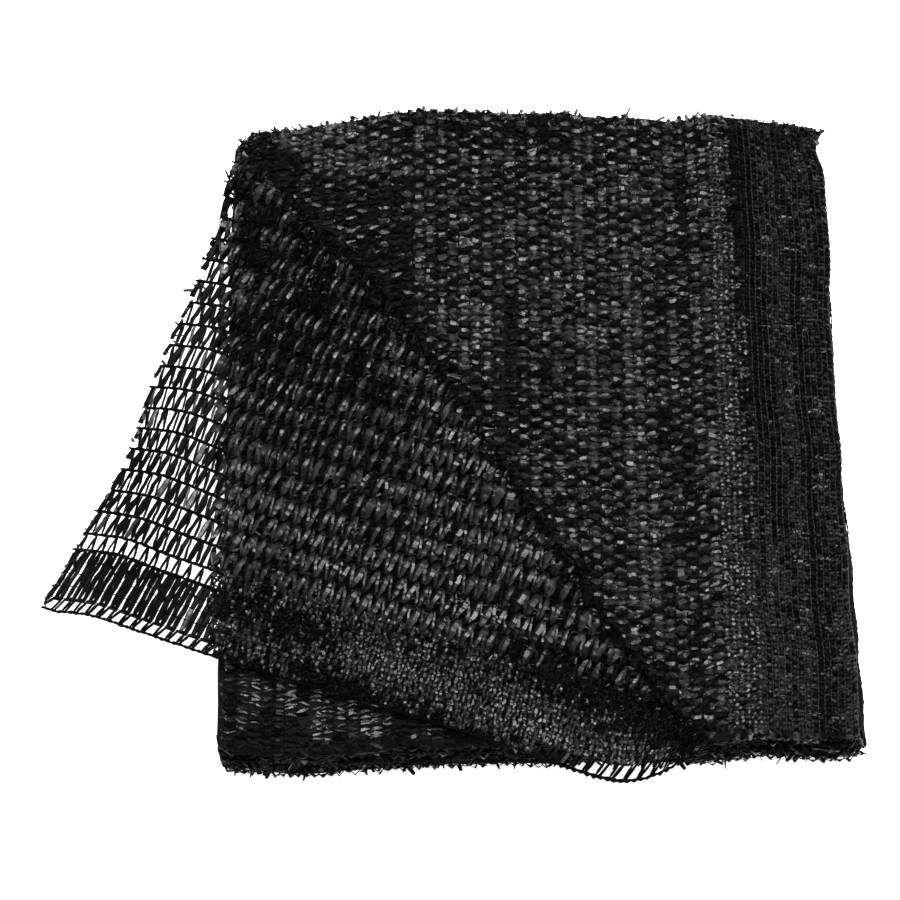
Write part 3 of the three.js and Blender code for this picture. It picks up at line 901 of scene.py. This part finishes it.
def make_loose_ends():
    tree = NetTree("loose ends")
    tree.socket("Ply", "Geometry")
    tree.sockets("Int", {"Count": 50, "Sides": 5, "Seed": 0})
    tree.sockets("Float", {"Low Across": 0.0, "High Across": 0.1, "Low Along": 0.0, "High Along": 0.1})
    tree.sockets("Float", {"Length": 0.004, "Width": 0.0012, "Lift": 0.6})
    tree.socket("Plastic", "Material")
    given, calc, vector = tree.given, tree.calc, tree.vector
    _, end, rank = tree.place_in_curve(float(POINTS_IN_END))
    along = calc("DIVIDE", rank, POINTS_IN_END - 1.0)

    def varied(low, high, salt):
        return tree.random(low, high, end, salt)

    def varied_direction(salt):
        inputs = {0: (-1, -1, -1), 1: (1, 1, 1), 7: end, 8: calc("ADD", given("Seed"), float(salt))}
        return tree.add("FunctionNodeRandomValue", inputs, data_type="FLOAT_VECTOR")

    root_across = varied(given("Low Across"), given("High Across"), 1)
    root = tree.point(root_across, varied(given("Low Along"), given("High Along"), 2))
    on_cloth = tree.on_ply(tree.position(), root, "FLOAT_VECTOR")
    outwards = tree.on_ply(tree.named("facing", "FLOAT_VECTOR"), root, "FLOAT_VECTOR")
    kept = tree.on_ply(tree.named("keep"), root)
    heading = vector("ADD", varied_direction(3), vector("SCALE", outwards, given("Lift")))
    length = calc("MULTIPLY", given("Length"), varied(0.35, 1.0, 4))
    straight = vector("SCALE", vector("NORMALIZE", heading), calc("MULTIPLY", along, length))
    curl = calc("MULTIPLY", calc("MULTIPLY", along, along), calc("MULTIPLY", length, 0.45))
    bent = vector("SCALE", varied_direction(5), curl)
    where = vector("ADD", vector("ADD", on_cloth, straight), bent)
    above_ground = vector("MAXIMUM", where, (-9, -9, 0.001))
    count = calc("MULTIPLY", given("Count"), float(POINTS_IN_END))
    curves = tree.curves(count, above_ground, end, along, {"strand": varied(0, 1, 6), "keep": kept})
    curves = tree.without(curves, calc("LESS_THAN", tree.named("keep"), 0.5))
    narrowed = calc("MULTIPLY_ADD", along, -0.3, 1.0)
    wide = calc("MULTIPLY", calc("MULTIPLY", varied(0.4, 1.0, 7), given("Width")), 0.5)
    radius = calc("MULTIPLY", wide, narrowed)
    curves = tree.add("GeometryNodeSetCurveRadius", {"Curve": curves, "Radius": radius})
    curves = tree.add("GeometryNodeSetCurveTilt", {"Curve": curves, "Tilt": varied(-1.5, 1.5, 8)})
    swept = tree.sweep(curves, vector("MULTIPLY", tree.position(), (1, 0.3, 1)))
    tree.put_out("Ends", "Geometry", tree.finished(tree.faceted(swept), "Plastic"))
    return tree.group


loose_ends = make_loose_ends()
print("The loose ends' tree has", len(loose_ends.nodes), "nodes.")

# %% [markdown]
# ## From the trees to a net
#
# The full tree takes a ply, knits one stretch of tapes and chains on it, and gives it its plastic. A net
# is made of a few such stretches side by side, because a net is knitted closer along its edge.

# %% The full tree
def make_knitting():
    tree = NetTree("knitted stretch")
    tree.socket("Ply", "Geometry")
    names = {"Ply"}
    for part in (tapes_tree, chains_tree):
        for item in part.interface.items_tree:
            if item.in_out == "INPUT" and item.name not in names:
                names.add(item.name)
                tree.socket(item.name, item.socket_type.replace("NodeSocket", ""), item.default_value)
    tree.sockets("Float", {"Chain Width": 0.0007, "Chain Height": 0.0007})
    tree.sockets("Int", {"Chain Sides": 5})
    tree.sockets("Material", {"Plastic": None, "Dull Plastic": None, "Yarn": None})
    renamed = {"Width": "Chain Width", "Height": "Chain Height", "Sides": "Chain Sides"}
    joined = tree.add("GeometryNodeJoinGeometry", out=None)
    for part, rename, plastic in ((tapes_tree, {}, "Plastic"), (chains_tree, renamed, "Yarn")):
        node = tree.add("GeometryNodeGroup", out=None, node_tree=part)
        for socket in node.inputs:
            tree.wire(tree.given(rename.get(socket.name, socket.name)), socket)
        finished = tree.finished(node.outputs[0], plastic)
        if part == tapes_tree:
            dull = tree.calc("GREATER_THAN", tree.named("dull"), 0.5)
            inputs = {"Geometry": finished, "Selection": dull, "Material": tree.given("Dull Plastic")}
            finished = tree.add("GeometryNodeSetMaterial", inputs)
        tree.wire(finished, joined.inputs[0])
    tree.put_out("Net", "Geometry", joined.outputs[0])
    return tree.group


knitting = make_knitting()
print("The knitting tree has", len(knitting.interface.items_tree), "named inputs and outputs.")

# %% [markdown]
# ## The plastic
#
# The net is black polyethylene. Tapes are slit film, glossy and crumpled, and no two catch the light
# alike. Their black isn't one black either: some stretches lean to blue, some to green or brown. One
# group gives the film's wrinkles and its change of shade, and each material uses it with its own values:
# glossy film; dull film, a darker and less glossy copy of it that paints shade on the tapes that lie
# behind others, beside the crease, on the folds and where the net hangs against the light; worn film
# for the band along the edge; yarn for the chains; and the mass of plies below.

# %% The shared effect: film wrinkles
def make_film_wrinkles():
    tree = Tree("film wrinkles", "ShaderNodeTree")
    tree.sockets("Float", {"Wrinkle Size": 1500.0, "Patch Size": 16.0, "Smooth": 0.2, "Dull": 0.5})
    tree.sockets("Color", {"Dark": (0.004, 0.004, 0.0045, 1), "Light": (0.014, 0.015, 0.017, 1)})
    given = tree.given

    def mixed(share, a, b, blend="MIX"):
        inputs = {0: share, 6: a, 7: b}
        return tree.add("ShaderNodeMix", inputs, out=2, data_type="RGBA", blend_type=blend)

    place_in_cloth = tree.add("ShaderNodeTexCoord", out=3)
    fine = tree.add("ShaderNodeTexNoise", {
        "Vector": place_in_cloth, "Scale": given("Wrinkle Size"),
        "Detail": 3.0, "Roughness": 0.6, "Distortion": 0.8,
    })
    patches = tree.add(
        "ShaderNodeTexNoise", {"Vector": place_in_cloth, "Scale": given("Patch Size"), "Detail": 2.0}, out=1
    )
    brown_or_blue = tree.add("ShaderNodeSeparateColor", {0: patches})
    tint = mixed(brown_or_blue, (1.12, 1.0, 0.86, 1), (0.84, 0.98, 1.2, 1))
    shade = mixed(fine, given("Dark"), given("Light"))
    tree.put_out("Colour", "Color", mixed(1.0, shade, tint, "MULTIPLY"))
    strand = tree.add("ShaderNodeAttribute", out=2, attribute_name="strand", attribute_type="GEOMETRY")
    dulled = tree.calc("MULTIPLY_ADD", tree.calc("SUBTRACT", fine, 0.5), 0.8, strand)
    rough = tree.add("ShaderNodeMapRange", {0: dulled, 1: 0.0, 2: 1.0, 3: given("Smooth"), 4: given("Dull")})
    tree.put_out("Roughness", "Float", rough)
    tree.put_out("Height", "Float", fine)
    return tree.group


film_wrinkles = make_film_wrinkles()

# %% The five plastics
def make_plastic(name, dark, light, roughness, shine, ior=1.5, wrinkle_size=900.0, bump=0.6, depth=0.0003):
    """A plastic between two shades and two roughnesses, with the film's wrinkles in it."""
    material = bpy.data.materials.new(name)
    material.use_nodes = True
    nodes, links = material.node_tree.nodes, material.node_tree.links
    shader = nodes["Principled BSDF"]
    group, wrinkles = nodes.new("ShaderNodeGroup"), nodes.new("ShaderNodeBump")
    group.node_tree = film_wrinkles
    smooth_film, dull = roughness
    for node, settings in (
        (group, {"Dark": (*dark, 1), "Light": (*light, 1), "Smooth": smooth_film, "Dull": dull}),
        (group, {"Wrinkle Size": wrinkle_size}),
        (wrinkles, {"Strength": bump, "Distance": depth}),
        (shader, {"Specular IOR Level": shine, "IOR": ior}),
    ):
        for key, value in settings.items():
            node.inputs[key].default_value = value
    links.new(group.outputs["Colour"], shader.inputs["Base Color"])
    links.new(group.outputs["Roughness"], shader.inputs["Roughness"])
    links.new(group.outputs["Height"], wrinkles.inputs["Height"])
    links.new(wrinkles.outputs["Normal"], shader.inputs["Normal"])
    return material


black_film = make_plastic(
    "black_film", (0.0012, 0.0012, 0.0014), (0.0034, 0.0036, 0.0042), roughness=(0.26, 0.49), shine=0.5,
    ior=1.52, wrinkle_size=800.0, bump=0.7, depth=0.0004,
)
# A darker, less glossy copy of the black film: the tapes that get it have shade painted on them.
dull_film = make_plastic(
    "dull_film", (0.0002, 0.0002, 0.0003), (0.0008, 0.0009, 0.0011), roughness=(0.35, 0.65), shine=0.045
)
worn_film = make_plastic(
    "worn_film", (0.001, 0.001, 0.0012), (0.003, 0.0032, 0.0038), roughness=(0.4, 0.62), shine=0.2
)
chain_yarn = make_plastic(
    "chain_yarn", (0.0002, 0.0002, 0.0003), (0.0009, 0.001, 0.0012), roughness=(0.4, 0.6), shine=0.02,
    bump=0.4,
)
plies_below = make_plastic(
    "plies_below", (0.001, 0.001, 0.0012), (0.0035, 0.0038, 0.0042), roughness=(0.6, 0.85), shine=0.03,
    wrinkle_size=420.0, bump=0.8, depth=0.001,
)
folded_sheet.data.materials.append(plies_below)
print("Plastics:", ", ".join(m.name for m in (black_film, dull_film, worn_film, chain_yarn, plies_below)))

# %% [markdown]
# ## Knitting the nets
#
# `knit` runs the tree once for each stretch, keeps the results as plain meshes, and joins them. What a
# stretch doesn't say for itself it takes from the tree's own values. Each stretch and each ply has a seed
# of its own, so that no two are alike and every run gives the same net.

# %% The knit function
def join(name, pieces):
    with bpy.context.temp_override(
        active_object=pieces[0], object=pieces[0], selected_objects=pieces, selected_editable_objects=pieces
    ):
        if len(pieces) > 1:
            bpy.ops.object.join()
    made = pieces[0]
    made.name = made.data.name = name
    made.data.calc_loop_triangles()
    print(f"{name}: {len(made.data.loop_triangles)} triangles")
    return made


def evaluated(holder, group, values):
    """The plain mesh that a node group makes of an object, as a new object."""
    identifiers = {i.name: i.identifier for i in group.interface.items_tree if i.in_out == "INPUT"}
    modifier = holder.modifiers.new("nodes", "NODES")
    modifier.node_group = group
    for key, value in values.items():
        modifier[identifiers[key]] = value
    graph = bpy.context.evaluated_depsgraph_get()
    mesh = bpy.data.meshes.new_from_object(holder.evaluated_get(graph))
    holder.modifiers.remove(modifier)
    made = bpy.data.objects.new("part", mesh)
    scene.collection.objects.link(made)
    return made


def knit(name, plies, stretches, ends=(), courses=None):
    """One net from several knitted stretches on one or more plies, which aren't needed after it."""
    parts = []
    for number, ply in enumerate(plies):
        for order, places in enumerate(ends):
            values = {"Plastic": black_film, "Seed": 23 * order + 59 * number + 7, **places}
            parts.append(evaluated(ply, loose_ends, values))
        for order, stretch in enumerate(stretches):
            values = {"Plastic": black_film, "Dull Plastic": dull_film, "Yarn": chain_yarn,
                      "Seed": 17 * order + 101 * number, **courses, **stretch}
            values.setdefault("Chains", values["Gaps"] + 1)
            parts.append(evaluated(ply, knitting, values))
    for ply in plies:
        bpy.data.objects.remove(ply)
    return join(name, parts)


def rows(start, end, course):
    """The courses between two places along the cloth, as the knitting tree wants them."""
    return {"Courses": math.ceil((end - start) / course), "Course": course * MM, "First Course": start * MM}


def spaced(low, high, step):
    return np.linspace(low, high, max(2, round((high - low) / step) + 1))


def grid(us, vs):
    return np.broadcast_arrays(us[None, :], vs[:, None])


# %% [markdown]
# ### The turned corner
#
# From its knitted edge inwards this net has one row of thin open strands, a close-knitted band, one row
# of thin strands like a ladder, and then the open field. The part that hangs past the stack is seen
# against the light, so there each close row is a bar of film with thin strands over it, and every gap
# counts. The part that lies on the stack is seen by its shine alone. There the band is a fine grain of
# short strokes, the open edge row is hidden in it, and only where the band hangs over the front does the
# edge row come out as a ladder again.

# %% The corner's plies
CHAIN_SPACING, EDGE_SPACING = 9.4, 5.0
COURSE, FINE_COURSE = 2.6, 1.75

u_grid, v_grid = grid(
    np.concatenate([[-4, -0.8], spaced(-0.6, 206, 2.6)]), np.concatenate([[-3.4], spaced(0, 306, 2.6)])
)
corner_points, beyond_crease = corner(u_grid, v_grid)
on_corner = np.clip(1 + v_grid / 3.2, 0, 1) * (u_grid > -0.7) * (beyond_crease > -math.pi * TURN_RADIUS - 9)
corner_tight_and_shade = tightness_and_shade(TIGHT_AND_SHADED_ON_CORNER, corner_points[..., 0], corner_points[..., 1])
# Along the crease's edge the net is drawn tight, and shade is painted there with the dull film.
corner_tight_and_shade = corner_tight_and_shade + 1.5 * np.exp(-(((beyond_crease + 0.5) / 3.4) ** 2))
past_the_side = STACK_LEFT - 1 - corner_points[..., 0]


def corner_ply(name, shown):
    """The corner's ply, kept where it is shown, with an edge a little soft so that chains stick out."""
    flat = np.stack([u_grid, v_grid], -1)
    keep = on_corner * np.clip(1.9 + shown / 2.6, 0, 1)
    return ply_mesh(name, corner_points, flat, keep=keep, tight=corner_tight_and_shade, dull=corner_tight_and_shade, outwards=-1)


# %% The kinds of rows in the cloth
# The chains of the edge stand closer than the field's. Widths and bows are in metres.
row = EDGE_SPACING * MM
thin_strands = {
    "Width": 0.0013, "Chain Width": 0.0012, "Spread": 0.15, "Neck": 0.9, "Bow": 0.0002, "Twist": 0.1,
    "Stray": 0.1, "Crumple": 0.0001, "Flatness": 0.7, "Dullness": 1.0, "Steps": 4, "Gaps": 1, "Chains": 1,
}
edge_row = {**thin_strands, "First Chain": 0.0, "Spacing": row, "Lean": 0.5, "Rise": 0.15, "Pairing": -0.2}
ladder_row = {**thin_strands, "First Chain": 5 * row, "Spacing": 7 * MM, "Rise": 0.5, "Pairing": 0.24}
close_bars = {"Gaps": 1, "Chains": 0, "Lean": 0.1, "Neck": 1.0, "Dullness": 0.95}
close_chains = {
    "First Chain": row, "Spacing": row, "Gaps": 0, "Chains": 4, "Lean": 0.1, "Chain Width": 0.0004,
}
close_grain = {
    "Spacing": 2.4 * MM, "Width": 0.0016, "Chain Width": 0.0006, "Spread": 0.35, "Neck": 0.6, "Bow": 0.001,
    "Rise": 0.35, "Twist": 0.6, "Stray": 0.3, "Crumple": 0.0003, "Fold": 0.3, "Dullness": 0.25,
    "Streaks": 0.15, "Steps": 5, "Sides": 4, "Chain Sides": 4,
}
open_field = {
    "First Chain": 5 * row + 7 * MM, "Spacing": CHAIN_SPACING * MM, "Gaps": 18, "Lean": 0.04, "Stray": 0.14,
}

# %% The corner's nets
CORNER_START, CORNER_END = -22.0, 306.0  # its rows lean, so they begin before the cut end
GRAIN_END, EDGE_RETURNS = 203.0, 204.2  # where the band begins to hang over the front

hanging_net = knit(
    "hanging_net", [corner_ply("hanging_ply", past_the_side)],
    [
        edge_row,
        {**close_bars, "First Chain": row, "Spacing": 4 * row, "Width": 0.0024, "Rise": 0.02,
         "Pairing": -0.05, "Spread": 0.12, "Steps": 9, "Bow": 0.0002, "Twist": 0.2, "Stray": 0.1,
         "Crumple": 0.0002},
        {**close_bars, "First Chain": 3.5 * row, "Spacing": 1.5 * row, "Width": 0.0013, "Rise": 1.2,
         "Stray": 0.5, "Steps": 5, "Bow": 0.0003, "Crumple": 0.0003, "Seed": 11},
        close_chains,
        ladder_row,
        {**open_field, "Width": 0.0022, "Chain Width": 0.0012, "Chain Height": 0.0003, "Bow": 0.0004,
         "Spread": 0.3, "Neck": 0.85, "Twist": 0.3, "Crumple": 0.0002, "Alternate": 0.28, "Dullness": 0.92,
         "Lean": 0.0, "Rise": 0.5},
    ],
    ends=[
        {"Count": 90, "High Across": 0.198, "Low Along": -0.0005, "High Along": 0.001, "Length": 0.0035,
         "Width": 0.0018, "Lift": 0.2},
        {"Count": 110, "Low Across": 0.155, "High Across": 0.2, "Low Along": -0.001, "High Along": 0.009,
         "Length": 0.0045, "Width": 0.0024, "Lift": 0.2, "Plastic": dull_film},
    ],
    courses=rows(CORNER_START, CORNER_END, COURSE),
)
corner_net = knit(
    "corner_net", [corner_ply("corner_ply", -past_the_side)],
    [
        {**close_grain, **rows(CORNER_START, GRAIN_END, FINE_COURSE), "First Chain": 0.0, "Gaps": 2,
         "Chains": 1, "Dullness": 0.45},
        {**close_grain, **rows(CORNER_START, CORNER_END, FINE_COURSE), "First Chain": row, "Gaps": 12,
         "Chains": 0},
        {**edge_row, **rows(EDGE_RETURNS, CORNER_END, COURSE)},
        {**close_chains, "Chain Height": -0.0002},
        {**open_field, "Width": 0.0021, "Chain Width": 0.0006, "Chain Height": -0.0001, "Bow": 0.0037,
         "Least Bow": 0.6, "Spread": 0.28, "Neck": 0.35, "Twist": 0.4, "Crumple": 0.0003, "Steps": 9,
         "Sides": 4, "Fold": 0.3, "Rise": 0.7, "Alternate": 0.25, "Backs": 0.6, "Streaks": 0.1,
         "Unevenness": 0.0014},
    ],
    ends=[{"Count": 60, "High Across": 0.198, "High Along": 0.3, "Length": 0.003, "Width": 0.002,
           "Lift": 0.8}],
    courses=rows(CORNER_START, CORNER_END, COURSE),
)

# %% [markdown]
# ### The top face
#
# Right of the crease the second ply shows. Its own knitted edge is the stack's right edge, so its close
# rows are there. Left of the crease lies what is left of the top ply, under the corner, and it shows at
# the front left. Both nets go on round the front fold.
#
# Two plies lie close together here, and the lower one's strokes fill the gaps of the upper one. So the
# field is laid with strokes half as long as the chains are apart, and they shine by turns: most strokes
# between the shining ones get the dull film, which paints on them the shade of the strokes over them. The
# band along the edge has thin raised chains between its close rows, and is worn. Between the two, a few
# finer rows of glossy film lead from the band to the field.

# %% The plies of the top face
FACE_START, FACE_END = -(TURN + 3), RUN + 5  # along the top layer, with the front fold before it
CREASE_OVERLAP = 12  # how far the lower plies go on under the crease

top_x, top_v = grid(
    spaced(STACK_LEFT + 2, STACK_RIGHT + 3, 2.6), spaced(TOP_START - TURN - 3, TOP_START + RUN + 4, 2.2)
)
on_cloth = (top_x < STACK_RIGHT + 0.5) & (top_v < TOP_START + RUN + 1)
on_top = top_v > TOP_START


def right_of_crease(beyond):
    return beyond < CREASE_OVERLAP


def face_ply(name, depth, lifted, shown):
    """A ply of the top layer, kept where it is shown. The top ply is lifted towards its crease."""
    points = place(np.minimum(top_x, STACK_RIGHT), depth, top_v)
    points[..., 0] += np.maximum(top_x - STACK_RIGHT, 0)
    x, y = points[..., 0], points[..., 1]
    beyond, _, _ = off_crease(x, y)
    if lifted:
        points[..., 2] += lift_to_crease(points) * on_top
        tight = tightness_and_shade(TIGHT_AND_SHADED_UNDER_CORNER, x, y)
    else:
        # Painted shade along the crease's edge, as tightness and dull film, weaker towards the front.
        crease_shade = 1.5 - 0.9 * smooth(-y, 95, 118)
        tight = tightness_and_shade(TIGHT_AND_SHADED_ON_FACE, x, y) + crease_shade * np.exp(-(((beyond + 1.5) / 3.8) ** 2))
    # Painted shade where the face turns down round the front and back folds, away from the light.
    painted_shade_at_folds = 0.8 * smooth(-y, 120, 127) + 0.25 * smooth(y, 118, 134)
    flat = np.stack([STACK_RIGHT - top_x, top_v - TOP_START], -1)
    keep = shown(beyond) & on_cloth
    return ply_mesh(name, points, flat, keep=keep, tight=tight, dull=tight + painted_shade_at_folds, outwards=1)


second_ply = face_ply(
    "second_ply", INNER + 0.2, False,
    lambda beyond: np.where(on_top, right_of_crease(beyond), top_x > TOP_PLY_EDGE - 6),
)
band_ply = face_ply("band_ply", INNER + 0.2, False, right_of_crease)
third_ply = face_ply("third_ply", INNER - 0.5, False, lambda beyond: on_top & right_of_crease(beyond))
back_ply = face_ply("back_ply", INNER + 0.2, False, lambda beyond: on_top & right_of_crease(beyond))
first_ply = face_ply(
    "first_ply", OUTER + 0.2, True,
    lambda beyond: np.where(on_top, beyond > -2, top_x < TOP_PLY_EDGE) & (top_x < TOP_PLY_EDGE + 0.5),
)

# %% The nets of the top face
BAND_WIDTH, BAND_GAPS = 35.1, 15
FINER_ROWS = 13.0  # the width of the finer rows between the band and the field

coarse_rows = rows(FACE_START, FACE_END, COURSE)
fine_rows = rows(FACE_START, FACE_END, FINE_COURSE)
face_grain = {**close_grain, **fine_rows, "Spacing": BAND_WIDTH / BAND_GAPS * MM, "Steps": 4}
top_net = knit(
    "top_net", [second_ply],
    [
        {"First Chain": (BAND_WIDTH + FINER_ROWS) * MM, "Spacing": CHAIN_SPACING / 2 * MM, "Gaps": 43,
         "Width": 0.0023, "Bow": 0.0012, "Least Bow": 0.6, "Rise": 0.35, "Twist": 0.45, "Neck": 0.4,
         "Spread": 0.25, "Stray": 0.16, "Crumple": 0.0003, "Steps": 5, "Sides": 4, "Fold": 0.3,
         "Dullness": 0.02, "Streaks": 0.06, "Backs": 0.7, "Checks": 1.0, "Unevenness": 0.0014,
         "Chain Width": 0.0006, "Chain Height": -0.0002, "Chain Sides": 4},
    ],
    courses=coarse_rows,
)
band_net = knit(
    "band_net", [band_ply],
    [
        {**face_grain, "First Chain": 0.0, "Gaps": BAND_GAPS, "Chains": BAND_GAPS + 1, "Chain Height": 0.0002,
         "Dullness": 0.15, "Streaks": 0.4, "Plastic": worn_film, "Yarn": worn_film},
        {**face_grain, "First Chain": (BAND_WIDTH - 1) * MM, "Gaps": 6, "Chains": 0, "Dullness": 0.35,
         "Seed": 31},
    ],
    courses=coarse_rows,
)
lower_net = knit(
    "lower_net", [third_ply],
    [{"First Chain": 3.0 * MM, "Spacing": CHAIN_SPACING * MM, "Gaps": 25, "Width": 0.0024, "Bow": 0.0006,
      "Rise": 0.4, "Steps": 4, "Sides": 3, "Chain Sides": 3, "Chain Height": 0.0004, "Seed": 5}],
    courses=coarse_rows,
)
cut_ends = knit(
    "cut_ends", [back_ply], [],
    ends=[
        {"Count": 420, "High Across": 0.245, "Low Along": 0.253, "High Along": 0.259, "Length": 0.0032,
         "Width": 0.0026, "Lift": 0.2},
        {"Count": 120, "High Across": 0.245, "Low Along": 0.0, "High Along": 0.259, "Length": 0.0028,
         "Width": 0.002, "Lift": 0.5},
    ],
)
under_net = knit(
    "under_net", [first_ply],
    [{"First Chain": (STACK_RIGHT - TOP_PLY_EDGE) * MM, "Spacing": CHAIN_SPACING / 2 * MM, "Gaps": 43,
      "Width": 0.0013, "Crumple": 0.0004, "Stray": 0.4, "Twist": 0.8, "Dullness": 0.36, "Bow": 0.0012,
      "Rise": 0.4, "Steps": 4, "Sides": 4, "Fold": 0.6, "Chain Sides": 3, "Chain Width": 0.0004,
      "Chain Height": -0.0003}],
    courses=fine_rows,
)

# %% [markdown]
# ### The folds at the front and back
#
# Each fold shows its outermost ply, so a narrow net goes round it. The fold crushes the net, so its
# strokes are short and crumpled.

# %% The nets of the folds
def narrow_ply(name, x, depth, v, outwards, along_rows):
    """A narrow ply of its own, whose flat measures are its real lengths. It turns about its short way."""
    points = place(x, depth, v)
    across_it, along_it = (0, 1) if along_rows else (1, 0)
    steps = np.linalg.norm(np.diff(points, axis=across_it), axis=-1).mean(along_it)
    length = np.concatenate([[0], np.cumsum(steps)])
    short = np.broadcast_to(length[:, None] if along_rows else length[None, :], x.shape)
    flat = np.stack([x, short], -1) if along_rows else np.stack([short, v - v.min()], -1)
    keep = (short > 1.2) & (short < length[-1] - 1.2)
    return ply_mesh(name, points, flat, keep=keep, outwards=outwards), length[-1]


fold_plies = []
for fold in range(TOP - 1):
    side = 1 if fold % 2 == 0 else -1  # even folds are at the front
    start = fold * (RUN + TURN) + RUN
    before, after = start - np.array((5, 3, 1.5)), start + TURN + np.array((1.5, 3, 5))
    round_it = np.concatenate([before, start + np.linspace(0, TURN, 9), after])
    x, v = grid(spaced(STACK_LEFT + 1, STACK_RIGHT, 3), round_it)
    ply, fold_length = narrow_ply(f"fold_{fold}", x, (OUTER + 0.2) * side, v, side, True)
    fold_plies.append(ply)
fold_net = knit(
    "fold_net", fold_plies,
    [{"First Chain": (STACK_LEFT + 1) * MM, "Spacing": CHAIN_SPACING / 3 * MM, "Gaps": 78, "Width": 0.0014,
      "Bow": 0.0013, "Rise": 0.4, "Steps": 3, "Sides": 4, "Fold": 0.5, "Crumple": 0.0005, "Twist": 0.8,
      "Dullness": 0.88, "Stray": 0.8, "Chain Sides": 3, "Chain Height": -0.0003}],
    ends=[{"Plastic": dull_film, "Count": 110, "Low Across": STACK_LEFT * MM, "High Across": STACK_RIGHT * MM,
           "Low Along": 0.003, "High Along": 0.012, "Length": 0.0035, "Width": 0.0024, "Lift": 0.7}],
    courses=rows(0, fold_length, COURSE),
)

# %% [markdown]
# ### The sides
#
# At the left each layer shows the lengthwise fold of its outermost ply, and at the right the knitted edge
# of the second one.

# %% The nets of the sides
left_plies, right_plies = [], []
around = np.linspace(0, math.pi, 7)
left_x = LEFT_TURN + np.concatenate([(5, 2.5), -(OUTER + 0.2) * np.sin(around), (2.5, 5)])
left_depth = (OUTER + 0.2) * np.concatenate([(1, 1), np.cos(around), (-1, -1)])
for layer in range(LAYER_COUNT):
    v_rows = layer * (RUN + TURN) + spaced(0, RUN, 5)
    x, v = grid(left_x, v_rows)
    ply, _ = narrow_ply(f"left_{layer}", x, np.broadcast_to(left_depth, v.shape), v, 1, False)
    left_plies.append(ply)
    if layer < TOP:
        x, v = grid(spaced(STACK_RIGHT - 14, STACK_RIGHT + 3, 2.5), v_rows)
        points = place(np.minimum(x, STACK_RIGHT), INNER + 0.1, v)
        points[..., 0] += np.maximum(x - STACK_RIGHT, 0)
        flat = np.stack([STACK_RIGHT - x, v - v.min()], -1)
        right_plies.append(ply_mesh(f"right_{layer}", points, flat, keep=x < STACK_RIGHT + 0.6))
side_rows = {"Rise": 0.5, "Sides": 4, "Chain Sides": 4}
left_net = knit(
    "left_net", left_plies,
    [{**side_rows, "First Chain": -2.0 * MM, "Spacing": CHAIN_SPACING * MM, "Gaps": 2, "Width": 0.0022,
      "Bow": 0.0005, "Steps": 5}],
    ends=[{"Count": 30, "High Across": 0.016, "High Along": 0.258, "Length": 0.0025, "Width": 0.002,
           "Lift": 0.8}],
    courses=rows(0, RUN - COURSE, COURSE),
)
right_net = knit(
    "right_net", right_plies,
    [{**side_rows, "First Chain": 0.0, "Spacing": row, "Gaps": 1, "Width": 0.0013, "Bow": 0.0003,
      "Steps": 4}],
    courses=rows(0, RUN - COURSE, COURSE),
)

# %% [markdown]
# ## The studio
#
# A plain pale floor and large soft lights. The plastic shows mostly by its glints, so the lights are
# broad and bright, and several of them stand round the cloth.

# %% Floor and world
floor_mesh = bpy.data.meshes.new("floor")
floor_mesh.from_pydata([(-3, -3, 0), (3, -3, 0), (3, 3, 0), (-3, 3, 0)], [], [(0, 1, 2, 3)])
floor = bpy.data.objects.new("floor", floor_mesh)
floor.location.z = -0.0002
scene.collection.objects.link(floor)
pale_floor = bpy.data.materials.new("pale_floor")
pale_floor.use_nodes = True
for key, value in {
    "Base Color": (0.86, 0.86, 0.86, 1), "Roughness": 0.9, "Specular IOR Level": 0.0,
    "Emission Color": (1, 1, 1, 1), "Emission Strength": 0.75,
}.items():
    pale_floor.node_tree.nodes["Principled BSDF"].inputs[key].default_value = value
floor_mesh.materials.append(pale_floor)

world = bpy.data.worlds.new("studio")
world.use_nodes = True
world.node_tree.nodes["Background"].inputs["Color"].default_value = (0.92, 0.98, 1.1, 1)
world.node_tree.nodes["Background"].inputs["Strength"].default_value = 0.28
scene.world = world
scene.view_settings.view_transform = "Standard"

# %% Lights
def softbox(name, place_at, size, power):
    """A large soft light that faces the middle of the cloth."""
    data = bpy.data.lights.new(name, "AREA")
    data.shape = "RECTANGLE"
    data.size, data.size_y = size
    data.energy = power
    light = bpy.data.objects.new(name, data)
    light.location = place_at
    light.rotation_euler = Vector(place_at).to_track_quat("Z", "Y").to_euler()
    scene.collection.objects.link(light)


softbox("light_over", (0.08, 0.42, 1.35), (1.35, 1.2), 48)
softbox("light_wide", (0.1, 0.55, 1.9), (2.4, 2.0), 41)
softbox("light_right", (1.3, 0.1, 1.0), (0.5, 0.9), 8)
softbox("light_front", (0.2, -1.3, 0.9), (1.0, 0.4), 3)

# %% Everything rides on the one body
net_pieces = [
    hanging_net, corner_net, top_net, band_net, cut_ends, lower_net, under_net, fold_net, left_net, right_net,
]
for piece in [folded_sheet, *net_pieces]:
    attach(piece, "root")
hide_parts("shade_cloth")
